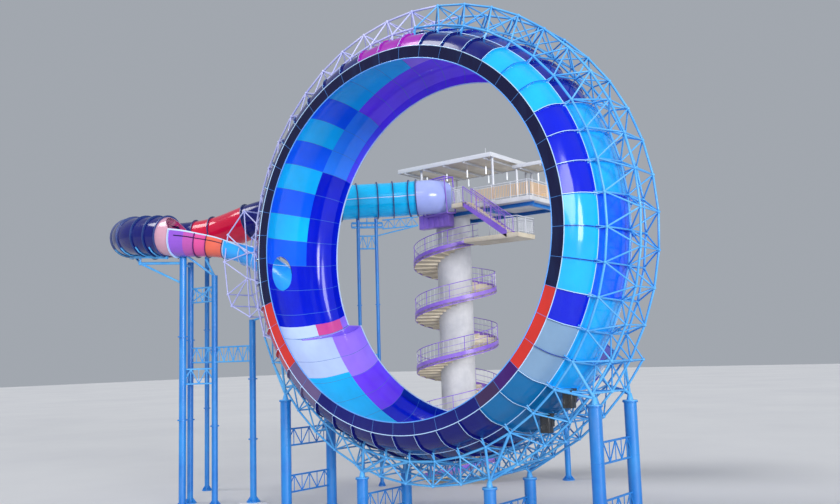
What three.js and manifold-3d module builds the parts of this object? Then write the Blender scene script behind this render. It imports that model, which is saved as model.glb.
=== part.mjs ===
// A giant ring water slide: a launch tower with a helical stair, a flume with a U-turn, and a ring
// channel carried by a round space truss on short columns.
// Lengths are in metres until they become geometry. Ring sizes are in ring radii and degrees,
// clockwise from the top as seen from the front.
import * as THREE from "three";
import { mergeVertices } from "three/addons/utils/BufferGeometryUtils.js";
import Module from "manifold-3d";

const wasm = await Module();
wasm.setup();

const MM = 1000;
const GAP = 0.0003; // clearance where two bodies meet

// The origin is on the ground, under the middle of the whole ride. The ring axis runs along Y.
const ORIGIN = [-6.92, 7.991];
const RING_RADIUS = 12; // to the outer chords of the truss
const RING_HEIGHT = 14.4; // of the ring centre
const BAY = 8; // degrees between panel flanges
const SEGMENT = 40; // degrees of ring in one body
const FIRST_EDGE = 5; // a panel flange
const SEGMENTS = 360 / SEGMENT;
const WIDE_SEGMENTS = [3, 4, 5]; // the bottom, where the exit lane widens the channel
const MOUTH_SEGMENT = 6; // where the flume comes in through the base

// Channel section as [radius, depth], from the front rim to the back rim.
const CHANNEL_WALL = 0.09;
const BASE_RADIUS = 0.903;
const NARROW_SECTION = [
  [0.7355, -0.241],
  [0.786, -0.243],
  [0.8365, -0.2105],
  [0.867, -0.14],
  [0.893, -0.075],
  [BASE_RADIUS, 0],
  [0.893, 0.075],
  [0.867, 0.14],
  [0.8365, 0.2085],
  [0.786, 0.24],
  [0.747, 0.238],
];
const WIDE_SECTION = [
  [0.7355, -0.241],
  [0.786, -0.243],
  [0.8365, -0.2105],
  [0.867, -0.14],
  [0.893, -0.075],
  [BASE_RADIUS, 0],
  [BASE_RADIUS, 0.1],
  [0.867, 0.23],
  [0.8365, 0.2985],
  [0.786, 0.33],
  [0.748, 0.33],
];

// Truss rows as [radius, depth].
const OUTER_ROWS = [
  [1.0, -0.08],
  [1.0, 0.08],
];
const INNER_ROWS = [
  [0.898, -0.138],
  [0.924, 0.138],
];
const WIDE_OUTER_ROW = [1.0, 0.195];
const WIDE_INNER_ROW = [0.9, 0.29];
const CHORD = 0.06; // half side of the square chord
const BRACE = 0.045;
const HEAD_STRUT = 0.063;

// Columns under the ring, in front and back pairs: x, and top above the ring centre.
const COLUMN_RADIUS = 0.29;
const COLUMN_ROWS = [-0.96, 2.64];
const RING_COLUMNS = {
  right: [9.4, -8.05],
  mid_right: [3.9, -11.85],
  mid_left: [-3.9, -11.85],
  left: [-9.5, -7.95],
};

// Landing frame: [x, height] of its nodes, the bars between them, and the ring nodes they tie to.
const LANDING_NODES = {
  a: [-1.074, 0.267],
  b: [-1.197, 0.16],
  c: [-1.054, 0.052],
  d: [-1.225, 0.025],
  e: [-1.052, -0.072],
  f: [-1.198, -0.141],
  g: [-1.168, -0.201],
  h: [-1.035, -0.262],
};
const LANDING_BARS = ["ab", "ac", "bc", "bd", "cd", "ce", "de", "df", "ef", "fg", "eg", "gh", "eh"];
const LANDING_TIES = { a: 281, c: 273, e: 265, h: 257 };
const LANDING_CROSS = ["a", "f", "g", "h"];
const LANDING_DEPTH = 0.08;

// Flume: one centre line from the launch deck to the ring, as x, y, height above the ring centre.
const FLUME_RADIUS = 1.22;
const FLUME_WALL = 0.07;
const FLUME_BORE = FLUME_RADIUS - FLUME_WALL;
const FLUME_LIP = 0.35;
const FLUME_SIDES = 12;
const ENTRY_SCALE = 0.68; // the flume narrows to pass between the chords of the ring truss
const FLUME_PATH = [
  [-9.55, 14.8, 5.6],
  [-9.75, 13.4, 5.48],
  [-11.6, 12.0, 5.38],
  [-14.1, 9.6, 5.2],
  [-16.2, 7.2, 4.75],
  [-18.6, 5.1, 4.0],
  [-21.7, 4.2, 3.25],
  [-23.8, 3.1, 3.0],
  [-24.75, 1.0, 2.85],
  [-23.8, -1.3, 2.7],
  [-21.7, -2.25, 2.5],
  [-19.6, -2.2, 2.3],
  [-18.0, -1.85, 2.1],
  [-16.5, -1.1, 1.8],
  [-15.0, -0.3, 1.4],
  [-13.6, 0, 0.9],
  [-12.3, 0, 0.3],
  [-11.1, 0, -0.4],
  [-9.6, 0, -1.5],
];
const REAR_END = 6; // numbers of the centre line points where one piece meets the next
const TURN_END = 12;
const OPEN_END = 14;
const ENTRY_END = FLUME_PATH.length - 1;

// Flume supports: x, y, radius and top above the ring centre. The last tower leg stands on a plinth.
const TOWER_LEGS = [
  [-18.05, -1.45, 0.22, 1.3],
  [-19.06, -0.1, 0.19, 0.72],
  [-16.8, 0.0, 0.19, -0.3],
  [-13.3, 0.0, 0.19, -3.25],
];
const PLINTH = { width: 1.2, height: 0.5 };
const TURN_LEG = [-22.5, 3.95, 0.16, 2.2];
const REAR_LEGS = [
  [-13.65, 10.1, 0.17, 4.4],
  [-12.75, 11.0, 0.17, 4.5],
];
const GIRDER_DEPTH = 0.9;

// Launch tower.
const CORE = [-9.9, 16.4];
const CORE_RADIUS = 1.25;
const CORE_SIDES = 20;
const STAIR_RADIUS = 3.0;
const STAIR_FLIGHTS = 3;
const FLIGHT_STEPS = 29; // each step turns by one side of the core
const STAIR_THICK = 0.3;
const NOSING = 0.003; // slope of a riser, in steps
const STEP_TRIM = 0.0004; // opens the joint between two flights
const DECK_HEIGHT = RING_HEIGHT + 4.75;
const STAIR_TOP = RING_HEIGHT + 2.2;
const DECK = { x0: -11.6, x1: -2.2, y0: 14.5, y1: 19.4, thick: 0.3 };
const DECK_BEAMS = { x0: -11.4, x1: -2.4, rows: [15.3, 18.9], depth: 0.25, width: 0.2 };
const DECK_COLUMN = [-2.75, 18.9, 0.2];
const FASCIA = { x0: -11.6, x1: -8.9, y1: 15.1, depth: 1 }; // hangs under the front of the deck
const ROOF = { x0: -13.2, x1: -5.0, y0: 14.2, y1: 19.5, z: RING_HEIGHT + 7.85, thick: 0.22 };
const SIDE_ROOF = { x0: -4.99, x1: -2.2, y0: 17.0, y1: 19.5, z: RING_HEIGHT + 7.4, thick: 0.16 };
const FRONT_FLIGHT = { y: 13.95, foot: -3.6, head: -6.9, width: 1.06, steps: 14 };
const POST_INSET = 0.2;
const POST_RADIUS = 0.09;

const COLOUR = {
  truss: 0x9fdcf5,
  column: 0x4bb4ea,
  navy: 0x1c2f8c,
  blue: 0x2f8fe0,
  lilac: 0xc9a2f2,
  pale: 0x7ecdf5,
  stone: 0xd9dce0,
  cream: 0xe9dcc0,
};
const CHANNEL_COLOURS = [
  0x1846c8, 0x35b6e8, 0x2b8fe0, 0x0f6fb8, 0x10206e, 0x142a86, 0x2464d8, 0x2f9be6, 0x5a2fb0,
];

const group = new THREE.Group();
group.name = "ring_water_slide";

const v = (x, y, z) => new THREE.Vector3(x, y, z);
const up = v(0, 0, 1);
const rad = THREE.MathUtils.degToRad;
const range = (n) => Array.from({ length: n }, (_, i) => i);
const atHeight = ([x, y, z]) => v(x, y, RING_HEIGHT + z);

// A solid in millimetres from a closed geometry in metres.
function solidOf(geometry) {
  const bare = geometry.clone();
  bare.deleteAttribute("normal");
  bare.deleteAttribute("uv");
  bare.translate(-ORIGIN[0], -ORIGIN[1], 0).scale(MM, MM, MM);
  const merged = mergeVertices(bare, 1e-2);
  const corners = [...merged.index.array];
  const triangles = range(corners.length / 3)
    .map((i) => corners.slice(3 * i, 3 * i + 3))
    .filter(([a, b, c]) => a !== b && b !== c && a !== c);
  const build = (faces) =>
    new wasm.Manifold(
      new wasm.Mesh({
        numProp: 3,
        vertProperties: merged.attributes.position.array,
        triVerts: new Uint32Array(faces.flat()),
      }),
    );
  const made = build(triangles);
  return made.volume() >= 0 ? made : build(triangles.map(([a, b, c]) => [a, c, b]));
}

const fuse = (list) => list.reduce((a, b) => a.add(b));

function addMesh(name, body, colour, roughness = 0.5, metalness = 0.1) {
  const data = body.getMesh();
  const points = new Float32Array(data.numVert * 3);
  range(data.numVert).forEach((i) => {
    const at = i * data.numProp;
    points.set(data.vertProperties.subarray(at, at + 3), i * 3);
  });
  const geometry = new THREE.BufferGeometry();
  geometry.setAttribute("position", new THREE.BufferAttribute(points, 3));
  geometry.setIndex([...data.triVerts]);
  geometry.computeVertexNormals();
  const material = new THREE.MeshStandardMaterial({ color: colour, roughness, metalness });
  const mesh = new THREE.Mesh(geometry, material);
  mesh.name = name;
  group.add(mesh);
}

// A closed outline carried through a list of rings of points, with flat ends.
function loft(rings, ends) {
  const n = rings[0].length;
  const faces = [];
  range(rings.length - 1).forEach((i) => {
    range(n).forEach((k) => {
      const a = i * n + k;
      const b = i * n + ((k + 1) % n);
      faces.push([a, b, b + n], [a, b + n, a + n]);
    });
  });
  const last = (rings.length - 1) * n;
  ends.forEach(([a, b, c]) => faces.push([c, b, a], [a + last, b + last, c + last]));
  const geometry = new THREE.BufferGeometry().setFromPoints(rings.flat());
  geometry.setIndex(faces.flat());
  return solidOf(geometry);
}

const endsOf = (outline) =>
  THREE.ShapeUtils.triangulateShape(
    outline.map(([x, y]) => new THREE.Vector2(x, y)),
    [],
  );
const QUAD_ENDS = [
  [0, 1, 2],
  [0, 2, 3],
];

// A straight bar of few sides between two points.
function bar(p, q, radius, sides = 3) {
  const axis = q.clone().sub(p);
  const geometry = new THREE.CylinderGeometry(radius, radius, axis.length(), sides, 1);
  geometry.rotateX(Math.PI / 2).lookAt(axis.normalize());
  const middle = p.clone().add(q).multiplyScalar(0.5);
  return solidOf(geometry.translate(middle.x, middle.y, middle.z));
}

function box(x0, x1, y0, y1, z0, z1) {
  const geometry = new THREE.BoxGeometry(x1 - x0, y1 - y0, z1 - z0);
  return solidOf(geometry.translate((x0 + x1) / 2, (y0 + y1) / 2, (z0 + z1) / 2));
}

// A turned body about a vertical axis, from [radius, height] pairs.
function turned(x, y, levels, sides = 10) {
  const profile = [[0, levels[0][1]], ...levels, [0, levels[levels.length - 1][1]]];
  const points = profile.map(([r, z]) => new THREE.Vector2(r, z));
  const geometry = new THREE.LatheGeometry(points, sides);
  return solidOf(geometry.rotateX(Math.PI / 2).translate(x, y, 0));
}

const drum = (x, y, radius, low, high, sides) =>
  turned(
    x,
    y,
    [
      [radius, low],
      [radius, high],
    ],
    sides,
  );

// A point of the ring from its radius, angle and depth.
function ringPoint(radius, angle, depth) {
  const a = rad(angle);
  const r = radius * RING_RADIUS;
  return v(r * Math.sin(a), depth * RING_RADIUS, RING_HEIGHT + r * Math.cos(a));
}

// Degrees that open a joint between two segments, and the clearance in ring radii.
const TRIM = THREE.MathUtils.radToDeg(GAP / RING_RADIUS);
const RING_GAP = GAP / RING_RADIUS;

// The section moved towards the inside of the channel by its wall.
function insideOf(section) {
  const wall = CHANNEL_WALL / RING_RADIUS;
  return section.map((p, i) => {
    const a = section[Math.max(i - 1, 0)];
    const b = section[Math.min(i + 1, section.length - 1)];
    const along = new THREE.Vector2(b[0] - a[0], b[1] - a[1]).normalize();
    return [p[0] - along.y * wall, p[1] + along.x * wall];
  });
}

function channelSegment(section, start) {
  const outline = [...section, ...insideOf(section).reverse()];
  const steps = SEGMENT / BAY;
  const rings = range(steps + 1).map((i) => {
    const trim = i === 0 ? TRIM : i === steps ? -TRIM : 0;
    return outline.map(([r, depth]) => ringPoint(r, start + BAY * i + trim, depth));
  });
  return loft(rings, endsOf(outline));
}

// The space between two angles about the ring axis, deeper than the truss.
function wedge(start, end) {
  const outline = [
    [start + TRIM, 0.6],
    [start + TRIM, 1.3],
    [(start + end) / 2, 1.5],
    [end - TRIM, 1.3],
    [end - TRIM, 0.6],
  ];
  const ends = range(outline.length - 2).map((i) => [0, i + 1, i + 2]);
  const faceAt = (depth) => outline.map(([angle, radius]) => ringPoint(radius, angle, depth));
  return loft([faceAt(-0.5), faceAt(0.6)], ends);
}

// A square chord round part of the ring.
function chord([radius, depth], angles) {
  const half = CHORD / RING_RADIUS;
  const corners = [
    [half, -half],
    [half, half],
    [-half, half],
    [-half, -half],
  ];
  const rings = angles.map((angle) => corners.map(([r, d]) => ringPoint(radius + r, angle, depth + d)));
  return loft(rings, QUAD_ENDS);
}

// The plate and struts that join a column head to the nodes above it.
function headFan(head, nodes) {
  const plate = drum(head.x, head.y, COLUMN_RADIUS * 1.25, head.z + GAP, head.z + 0.1, 8);
  const tip = head.clone().add(v(0, 0, 0.085));
  const nearest = nodes
    .filter((node) => node.z > head.z + 0.2)
    .sort((a, b) => a.distanceTo(head) - b.distanceTo(head))
    .slice(0, 3);
  return fuse([plate, ...nearest.map((node) => bar(tip, node, HEAD_STRUT))]);
}

function trussSegment(index) {
  const start = FIRST_EDGE + SEGMENT * index;
  const wide = WIDE_SEGMENTS.includes(index);
  const outer = wide ? [OUTER_ROWS[0], WIDE_OUTER_ROW] : OUTER_ROWS;
  const inner = wide ? [...INNER_ROWS, WIDE_INNER_ROW] : INNER_ROWS;
  const sides = [
    [outer[0], inner[0]],
    [outer[1], inner[inner.length - 1]],
  ];
  const bays = SEGMENT / BAY;
  const innerAngles = range(bays + 1).map((i) => start + BAY * i);
  const outerAngles = range(bays).map((i) => start + BAY * (i + 0.5));
  const outerRun = [start - BAY / 2, ...outerAngles, start + SEGMENT + BAY / 2];
  const at = ([radius, depth], angle) => ringPoint(radius, angle, depth);
  const rib = (rows, angle) =>
    range(rows.length - 1).map((i) => bar(at(rows[i], angle), at(rows[i + 1], angle), BRACE));
  const parts = [
    ...outer.map((row) => chord(row, outerRun)),
    ...inner.map((row) => chord(row, innerAngles)),
    ...outerAngles.flatMap((angle) => rib(outer, angle)),
  ];
  // At the inner node under each V of braces a rib, and a short tie that holds the channel base.
  const tieFoot = (INNER_ROWS[0][0] + INNER_ROWS[1][0]) / 2;
  [innerAngles[1], innerAngles[3]].forEach((angle) => {
    parts.push(...rib(inner, angle));
    parts.push(bar(ringPoint(tieFoot, angle, 0), ringPoint(BASE_RADIUS + RING_GAP, angle, 0), CHORD, 4));
  });
  // Braces between the outer and inner chords, in V pairs.
  outerAngles.forEach((angle, i) => {
    const turn = i % 2 === 0 ? BAY / 2 : -BAY / 2;
    sides.forEach(([p, q]) => parts.push(bar(at(p, angle), at(q, angle + turn), BRACE)));
  });
  for (const [x, z] of Object.values(RING_COLUMNS)) {
    const angle = (THREE.MathUtils.radToDeg(Math.atan2(x, z)) + 360) % 360;
    if (angle < start || angle >= start + SEGMENT) continue;
    COLUMN_ROWS.forEach((y, i) => {
      const [outerRow, innerRow] = sides[i];
      const nodes = [
        ...outerAngles.map((a) => at(outerRow, a)),
        ...innerAngles.map((a) => at(innerRow, a)),
      ];
      parts.push(headFan(v(x, y, RING_HEIGHT + z), nodes));
    });
  }
  return fuse(parts).intersect(wedge(start, start + SEGMENT));
}

// A round leg with a base plate.
function leg([x, y, radius, top], low = 0) {
  const foot = turned(x, y, [
    [radius * 2.1, low],
    [radius * 2.1, low + 0.08],
    [radius * 1.05, low + 0.3],
  ]);
  return foot.add(drum(x, y, radius, low + 0.05, top));
}

// A flat lattice girder between two legs, from their places and its lower edge.
function girder([px, py], [qx, qy], low, bays) {
  const at = (t, z) => v(px + (qx - px) * t, py + (qy - py) * t, z);
  const high = low + GIRDER_DEPTH;
  const parts = [bar(at(0, low), at(1, low), BRACE), bar(at(0, high), at(1, high), BRACE)];
  range(bays).forEach((i) => {
    const middle = at((i + 0.5) / bays, high);
    parts.push(bar(at(i / bays, low), middle, BRACE * 0.7));
    parts.push(bar(middle, at((i + 1) / bays, low), BRACE * 0.7));
  });
  return fuse(parts);
}

// Places along the flume between two of its points. The side direction stays level.
const flumeCurve = new THREE.CatmullRomCurve3(FLUME_PATH.map(atHeight));
function flumeFrames(from, to, steps) {
  const trim = 0.0001;
  return range(steps + 1).map((i) => {
    const shift = i === 0 ? trim : i === steps ? -trim : 0;
    const t = from + ((to - from) * i) / steps + shift;
    const along = flumeCurve.getTangent(t / ENTRY_END);
    const side = along.clone().cross(up).normalize();
    const narrow = THREE.MathUtils.smoothstep(t, OPEN_END - 2.2, OPEN_END + 0.2);
    return {
      at: flumeCurve.getPoint(t / ENTRY_END),
      side,
      rise: side.clone().cross(along),
      scale: 1 - (1 - ENTRY_SCALE) * narrow,
    };
  });
}

function sweep(frames, profile, grow = 0) {
  const size = 1 + grow / FLUME_RADIUS;
  const rings = frames.map(({ at, side, rise, scale }) =>
    profile.map(([s, r]) =>
      at
        .clone()
        .addScaledVector(side, s * scale * size)
        .addScaledVector(rise, r * scale * size),
    ),
  );
  return loft(rings, endsOf(profile));
}

const circle = (radius) =>
  range(FLUME_SIDES).map((k) => {
    const turn = (2 * Math.PI * k) / FLUME_SIDES;
    return [radius * Math.cos(turn), radius * Math.sin(turn)];
  });

// A tube whose bore runs just past both of its ends.
function tube(frames) {
  const beyond = (frame, next) => {
    const back = frame.at.clone().sub(next.at).setLength(0.01);
    return { ...frame, at: frame.at.clone().add(back) };
  };
  const last = frames.length - 1;
  const bore = [
    beyond(frames[0], frames[1]),
    ...frames.slice(1, last),
    beyond(frames[last], frames[last - 1]),
  ];
  return sweep(frames, circle(FLUME_RADIUS)).subtract(sweep(bore, circle(FLUME_BORE)));
}

// Flume pieces and the clear space around them. The first tube starts flush with the deck edge.
const rearFrames = flumeFrames(0, REAR_END, 11);
const turnFrames = flumeFrames(REAR_END, TURN_END, 13);
const openFrames = flumeFrames(TURN_END, OPEN_END, 4);
const entryFrames = flumeFrames(OPEN_END, ENTRY_END, 7);
const allFrames = [...rearFrames, ...turnFrames, ...openFrames, ...entryFrames];
const flumeClear = sweep(allFrames, circle(FLUME_RADIUS), GAP);
const cutClear = (body) => body.subtract(flumeClear);
const deckSide = box(-13, -6, DECK.y0 - GAP, DECK.y0 + 2, DECK_HEIGHT - 2, DECK_HEIGHT + 4);

// Ring channel, cut through its base at the mouth.
const channels = range(SEGMENTS).map((i) =>
  channelSegment(WIDE_SEGMENTS.includes(i) ? WIDE_SECTION : NARROW_SECTION, FIRST_EDGE + SEGMENT * i),
);
const mouth = sweep(entryFrames, circle(FLUME_BORE));
channels[MOUTH_SEGMENT] = channels[MOUTH_SEGMENT].subtract(mouth);
channels.forEach((body, i) => addMesh("channel_" + (i + 1), body, CHANNEL_COLOURS[i], 0.3, 0));

// Landing frame at the left limb, welded to the ring truss round the end of the flume.
const landingAt = (key, depth) => {
  const [x, z] = LANDING_NODES[key];
  return v(x * RING_RADIUS, depth * RING_RADIUS, RING_HEIGHT + z * RING_RADIUS);
};
const landing = [-LANDING_DEPTH, LANDING_DEPTH].flatMap((depth) => [
  ...LANDING_BARS.map(([p, q]) => bar(landingAt(p, depth), landingAt(q, depth), BRACE)),
  ...Object.entries(LANDING_TIES).map(([key, angle]) =>
    bar(landingAt(key, depth), ringPoint(1, angle, depth), BRACE),
  ),
]);
const landingCross = (key, radius) =>
  bar(landingAt(key, -LANDING_DEPTH), landingAt(key, LANDING_DEPTH), radius);
LANDING_CROSS.forEach((key) => landing.push(landingCross(key, BRACE)));

// Ring truss.
const trusses = range(SEGMENTS).map(trussSegment);
const entryRoom = sweep(entryFrames, circle(FLUME_RADIUS), 0.1);
trusses[MOUTH_SEGMENT] = fuse([trusses[MOUTH_SEGMENT], ...landing]).subtract(entryRoom);
trusses.forEach((body, i) => addMesh("truss_" + (i + 1), body, COLOUR.truss, 0.45, 0.3));

// Columns under the ring, each front and back pair braced together.
for (const [side, [x, z]] of Object.entries(RING_COLUMNS)) {
  const top = RING_HEIGHT + z;
  const places = COLUMN_ROWS.map((y) => [x, y]);
  const levels = top > 4 ? [1.4, top - 1.6 - GIRDER_DEPTH] : [0.8];
  const parts = [
    ...places.map(([px, py]) => leg([px, py, COLUMN_RADIUS, top])),
    ...levels.map((low) => girder(...places, low, 3)),
  ];
  addMesh("columns_" + side, fuse(parts), COLOUR.column, 0.45, 0.2);
}

// Flume from the launch deck to the ring.
addMesh("flume_rear_run", tube(rearFrames).subtract(deckSide), COLOUR.blue, 0.35, 0);
addMesh("flume_turn", tube(turnFrames), COLOUR.navy, 0.35, 0);
const bowl = (r) => [[-r, FLUME_LIP], ...circle(r).slice(FLUME_SIDES / 2), [r, 0], [r, FLUME_LIP]];
const trough = [...bowl(FLUME_RADIUS), ...bowl(FLUME_BORE).reverse()];
addMesh("flume_open_run", sweep(openFrames, trough), COLOUR.lilac, 0.35, 0);
// The entry stops at the outer face of the channel base.
const plugOutline = [
  ...NARROW_SECTION.map(([r, depth]) => [r + RING_GAP, depth]),
  [0.5, 0.238],
  [0.5, -0.241],
];
const plugStart = FIRST_EDGE + SEGMENT * MOUTH_SEGMENT;
const plugRings = range(SEGMENT / BAY + 1).map((i) =>
  plugOutline.map(([r, depth]) => ringPoint(r, plugStart + BAY * i, depth)),
);
const entry = sweep(entryFrames, trough).subtract(loft(plugRings, endsOf(plugOutline)));
addMesh("flume_entry", entry, COLOUR.pale, 0.35, 0);

// Flume tower: four legs, lattice girders, and an arm that reaches out under the turn.
const [legA, legB, legC, legD] = TOWER_LEGS;
const armEnd = [-21.4, -2.25, 0.72];
const [landingX, landingZ] = LANDING_NODES.h.map((size) => size * RING_RADIUS);
const struts = [
  [[legA[0], legA[1], 0.45], [legB[0], legB[1], 0.45], 0.09],
  [[legA[0], legA[1], 0.5], armEnd, 0.09],
  [[legA[0], legA[1], -0.8], armEnd, 0.07],
  [armEnd, [armEnd[0], armEnd[1], 1.6], 0.07],
  [armEnd, [-23.6, -1.2, 1.75], 0.07],
  [[legC[0], legC[1], -0.35], [-16.4, -1.0, 0.9], 0.07],
  [[legC[0], legC[1], -0.35], [-17.6, -1.5, 1.2], 0.07],
  [[legD[0], legD[1], legD[3] - 0.05], [landingX, 0, landingZ], 0.06],
];
const towerParts = [
  ...[legA, legB, legC].map(([x, y, r, z]) => leg([x, y, r, RING_HEIGHT + z])),
  leg([legD[0], legD[1], legD[2], RING_HEIGHT + legD[3]], PLINTH.height + GAP),
  girder(legB, legC, RING_HEIGHT - 1.9, 2),
  girder(legB, legC, 8.7, 2),
  girder(legC, legD, 8.7, 4),
  girder(legA, legC, 7.4, 2),
  girder(legA, legB, 7.4, 1),
  ...struts.map(([p, q, radius]) => bar(atHeight(p), atHeight(q), radius)),
];
const seatClear = landingCross("h", BRACE + 1.5 * GAP);
addMesh("flume_tower", cutClear(fuse(towerParts)).subtract(seatClear), COLOUR.column, 0.45, 0.2);
const half = PLINTH.width / 2;
const plinth = box(legD[0] - half, legD[0] + half, legD[1] - half, legD[1] + half, 0, PLINTH.height);
addMesh("tower_plinth", plinth, COLOUR.stone, 0.8, 0);

const raised = ([x, y, r, z]) => leg([x, y, r, RING_HEIGHT + z]);
addMesh("flume_turn_leg", cutClear(raised(TURN_LEG)), COLOUR.column, 0.45, 0.2);
const rearLegs = [
  ...REAR_LEGS.map(raised),
  girder(...REAR_LEGS, RING_HEIGHT + 1.9, 2),
  girder(...REAR_LEGS, 8, 2),
];
addMesh("flume_rear_legs", cutClear(fuse(rearLegs)), COLOUR.column, 0.45, 0.2);

// Launch tower core and helical stair. Each step turns by one side of the core.
const [coreX, coreY] = CORE;
const core = drum(coreX, coreY, CORE_RADIUS, 0, DECK_HEIGHT - DECK.thick - GAP, CORE_SIDES);
addMesh("tower_core", core, COLOUR.stone, 0.6, 0);
const stairSteps = STAIR_FLIGHTS * FLIGHT_STEPS;
const riser = STAIR_TOP / stairSteps;
// The edge of a step, from its place round the core in steps and the step it belongs to.
function stairEdge(place, step) {
  const angle = rad((360 / CORE_SIDES) * (place - stairSteps - 1));
  const top = riser * (step + 1);
  const low = Math.max(riser * (place + 1) - STAIR_THICK, 0);
  const at = (r, z) => v(coreX + r * Math.cos(angle), coreY + r * Math.sin(angle), z);
  const inner = CORE_RADIUS + 2 * GAP;
  return [at(inner, low), at(STAIR_RADIUS, low), at(STAIR_RADIUS, top), at(inner, top)];
}
range(STAIR_FLIGHTS).forEach((flight) => {
  const rings = range(FLIGHT_STEPS).flatMap((i) => {
    const step = flight * FLIGHT_STEPS + i;
    const end = i === FLIGHT_STEPS - 1 ? step + 1 - STEP_TRIM : step + 1;
    return [stairEdge(step + (i === 0 ? STEP_TRIM : NOSING), step), stairEdge(end, step)];
  });
  addMesh("stair_" + (flight + 1), loft(rings, QUAD_ENDS), COLOUR.cream, 0.6, 0.2);
});

// Straight flight along the front of the deck, up from a landing beside the helical stair.
const near = FRONT_FLIGHT.y - FRONT_FLIGHT.width / 2;
const far = FRONT_FLIGHT.y + FRONT_FLIGHT.width / 2;
const going = (FRONT_FLIGHT.foot - FRONT_FLIGHT.head) / FRONT_FLIGHT.steps;
const rise = (DECK_HEIGHT - STAIR_TOP) / FRONT_FLIGHT.steps;
const frontSteps = range(FRONT_FLIGHT.steps).map((i) => {
  const x = FRONT_FLIGHT.foot - going * i;
  const top = STAIR_TOP + rise * (i + 1);
  return box(x - going, x + 0.03, near, far, top - STAIR_THICK, top);
});
const stairWell = drum(coreX, coreY, STAIR_RADIUS + 2 * GAP, 0, STAIR_TOP + 1, CORE_SIDES);
const footLanding = box(-7.3, FRONT_FLIGHT.foot + 1, near, 15.6, STAIR_TOP - STAIR_THICK, STAIR_TOP);
const headX = FRONT_FLIGHT.head;
const headLanding = box(headX - 1, headX + 0.05, near, DECK.y0 - GAP, DECK_HEIGHT - STAIR_THICK, DECK_HEIGHT);
const frontFlight = fuse([footLanding.subtract(stairWell), ...frontSteps, headLanding]);
addMesh("front_flight", frontFlight, COLOUR.cream, 0.6, 0.2);

// Launch deck, posts and roof.
const deck = box(DECK.x0, DECK.x1, DECK.y0, DECK.y1, DECK_HEIGHT - DECK.thick, DECK_HEIGHT);
addMesh("launch_deck", deck, COLOUR.stone, 0.7, 0);
const roof = box(ROOF.x0, ROOF.x1, ROOF.y0, ROOF.y1, ROOF.z, ROOF.z + ROOF.thick);
addMesh("launch_roof", roof, COLOUR.cream, 0.6, 0);
const standing = (x, y, top) => bar(v(x, y, DECK_HEIGHT + GAP), v(x, y, top), POST_RADIUS, 8);
const postX = [DECK.x0 + POST_INSET, ROOF.x1 - POST_INSET];
const postY = [DECK.y0 + POST_INSET, DECK.y1 - POST_INSET];
postX.forEach((x, i) => {
  postY.forEach((y, j) => {
    addMesh("roof_post_" + (2 * i + j + 1), standing(x, y, ROOF.z - GAP), COLOUR.stone, 0.4, 0.2);
  });
});
const sideSlab = box(
  SIDE_ROOF.x0,
  SIDE_ROOF.x1,
  SIDE_ROOF.y0,
  SIDE_ROOF.y1,
  SIDE_ROOF.z,
  SIDE_ROOF.z + SIDE_ROOF.thick,
);
const sidePosts = [SIDE_ROOF.x0 + POST_INSET, SIDE_ROOF.x1 - POST_INSET].flatMap((x) =>
  [SIDE_ROOF.y0 + POST_INSET, postY[1]].map((y) => standing(x, y, SIDE_ROOF.z + GAP)),
);
addMesh("side_roof", fuse([sideSlab, ...sidePosts]), COLOUR.cream, 0.6, 0);

// What carries the deck beside the core: a frame of beams, a back column, and a front fascia.
const under = DECK_HEIGHT - DECK.thick - GAP;
const beamLow = under - DECK_BEAMS.depth;
const halfBeam = DECK_BEAMS.width / 2;
const [firstRow, lastRow] = DECK_BEAMS.rows;
const rowBeam = (y) =>
  box(DECK_BEAMS.x0, DECK_BEAMS.x1, y - halfBeam, y + halfBeam, beamLow, under);
const crossBeam = (x) => box(x - halfBeam, x + halfBeam, firstRow, lastRow, beamLow, under);
const crossPlaces = [DECK_BEAMS.x0 + halfBeam, coreX, (coreX + DECK_BEAMS.x1) / 2, DECK_COLUMN[0]];
const beams = [...DECK_BEAMS.rows.map(rowBeam), ...crossPlaces.map(crossBeam)];
const coreClear = drum(coreX, coreY, CORE_RADIUS + 2 * GAP, 0, DECK_HEIGHT, CORE_SIDES);
addMesh("deck_beams", fuse(beams).subtract(coreClear), COLOUR.column, 0.45, 0.2);
const fascia = box(FASCIA.x0, FASCIA.x1, DECK.y0, FASCIA.y1, under - FASCIA.depth, under);
addMesh("deck_fascia", fascia, COLOUR.lilac, 0.5, 0);
addMesh("deck_column", leg([...DECK_COLUMN, beamLow - GAP]), COLOUR.column, 0.45, 0.2);

export default group;
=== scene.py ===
"""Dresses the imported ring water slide: moulded channel, space truss, flume, supports and launch tower.

Everything is in metres in the frame's own axes: X along the face of the ring, Y away from the viewer,
Z up. Angles round the ring are in degrees, clockwise from the top as seen from the front. A row is a
radius and a depth along the ring axis, both in ring radii.
"""

import logging
import math
from dataclasses import dataclass, field
from enum import Enum
from typing import Callable, Iterable, Sequence

import bmesh
import bpy
from mathutils import Matrix, Vector


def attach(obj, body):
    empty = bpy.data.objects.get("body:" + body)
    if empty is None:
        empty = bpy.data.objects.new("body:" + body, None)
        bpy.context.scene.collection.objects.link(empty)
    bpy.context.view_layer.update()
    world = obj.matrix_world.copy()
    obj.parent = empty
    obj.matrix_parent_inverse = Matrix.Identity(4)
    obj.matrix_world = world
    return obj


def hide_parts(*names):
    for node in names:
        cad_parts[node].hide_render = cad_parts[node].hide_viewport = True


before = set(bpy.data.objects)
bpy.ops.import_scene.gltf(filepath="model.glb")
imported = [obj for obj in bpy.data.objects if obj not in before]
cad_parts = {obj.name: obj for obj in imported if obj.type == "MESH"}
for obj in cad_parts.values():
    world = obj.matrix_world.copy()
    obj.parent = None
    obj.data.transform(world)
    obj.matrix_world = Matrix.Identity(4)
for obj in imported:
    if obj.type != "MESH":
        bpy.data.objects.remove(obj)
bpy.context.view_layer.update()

LOG = logging.getLogger("ring_slide")
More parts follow.
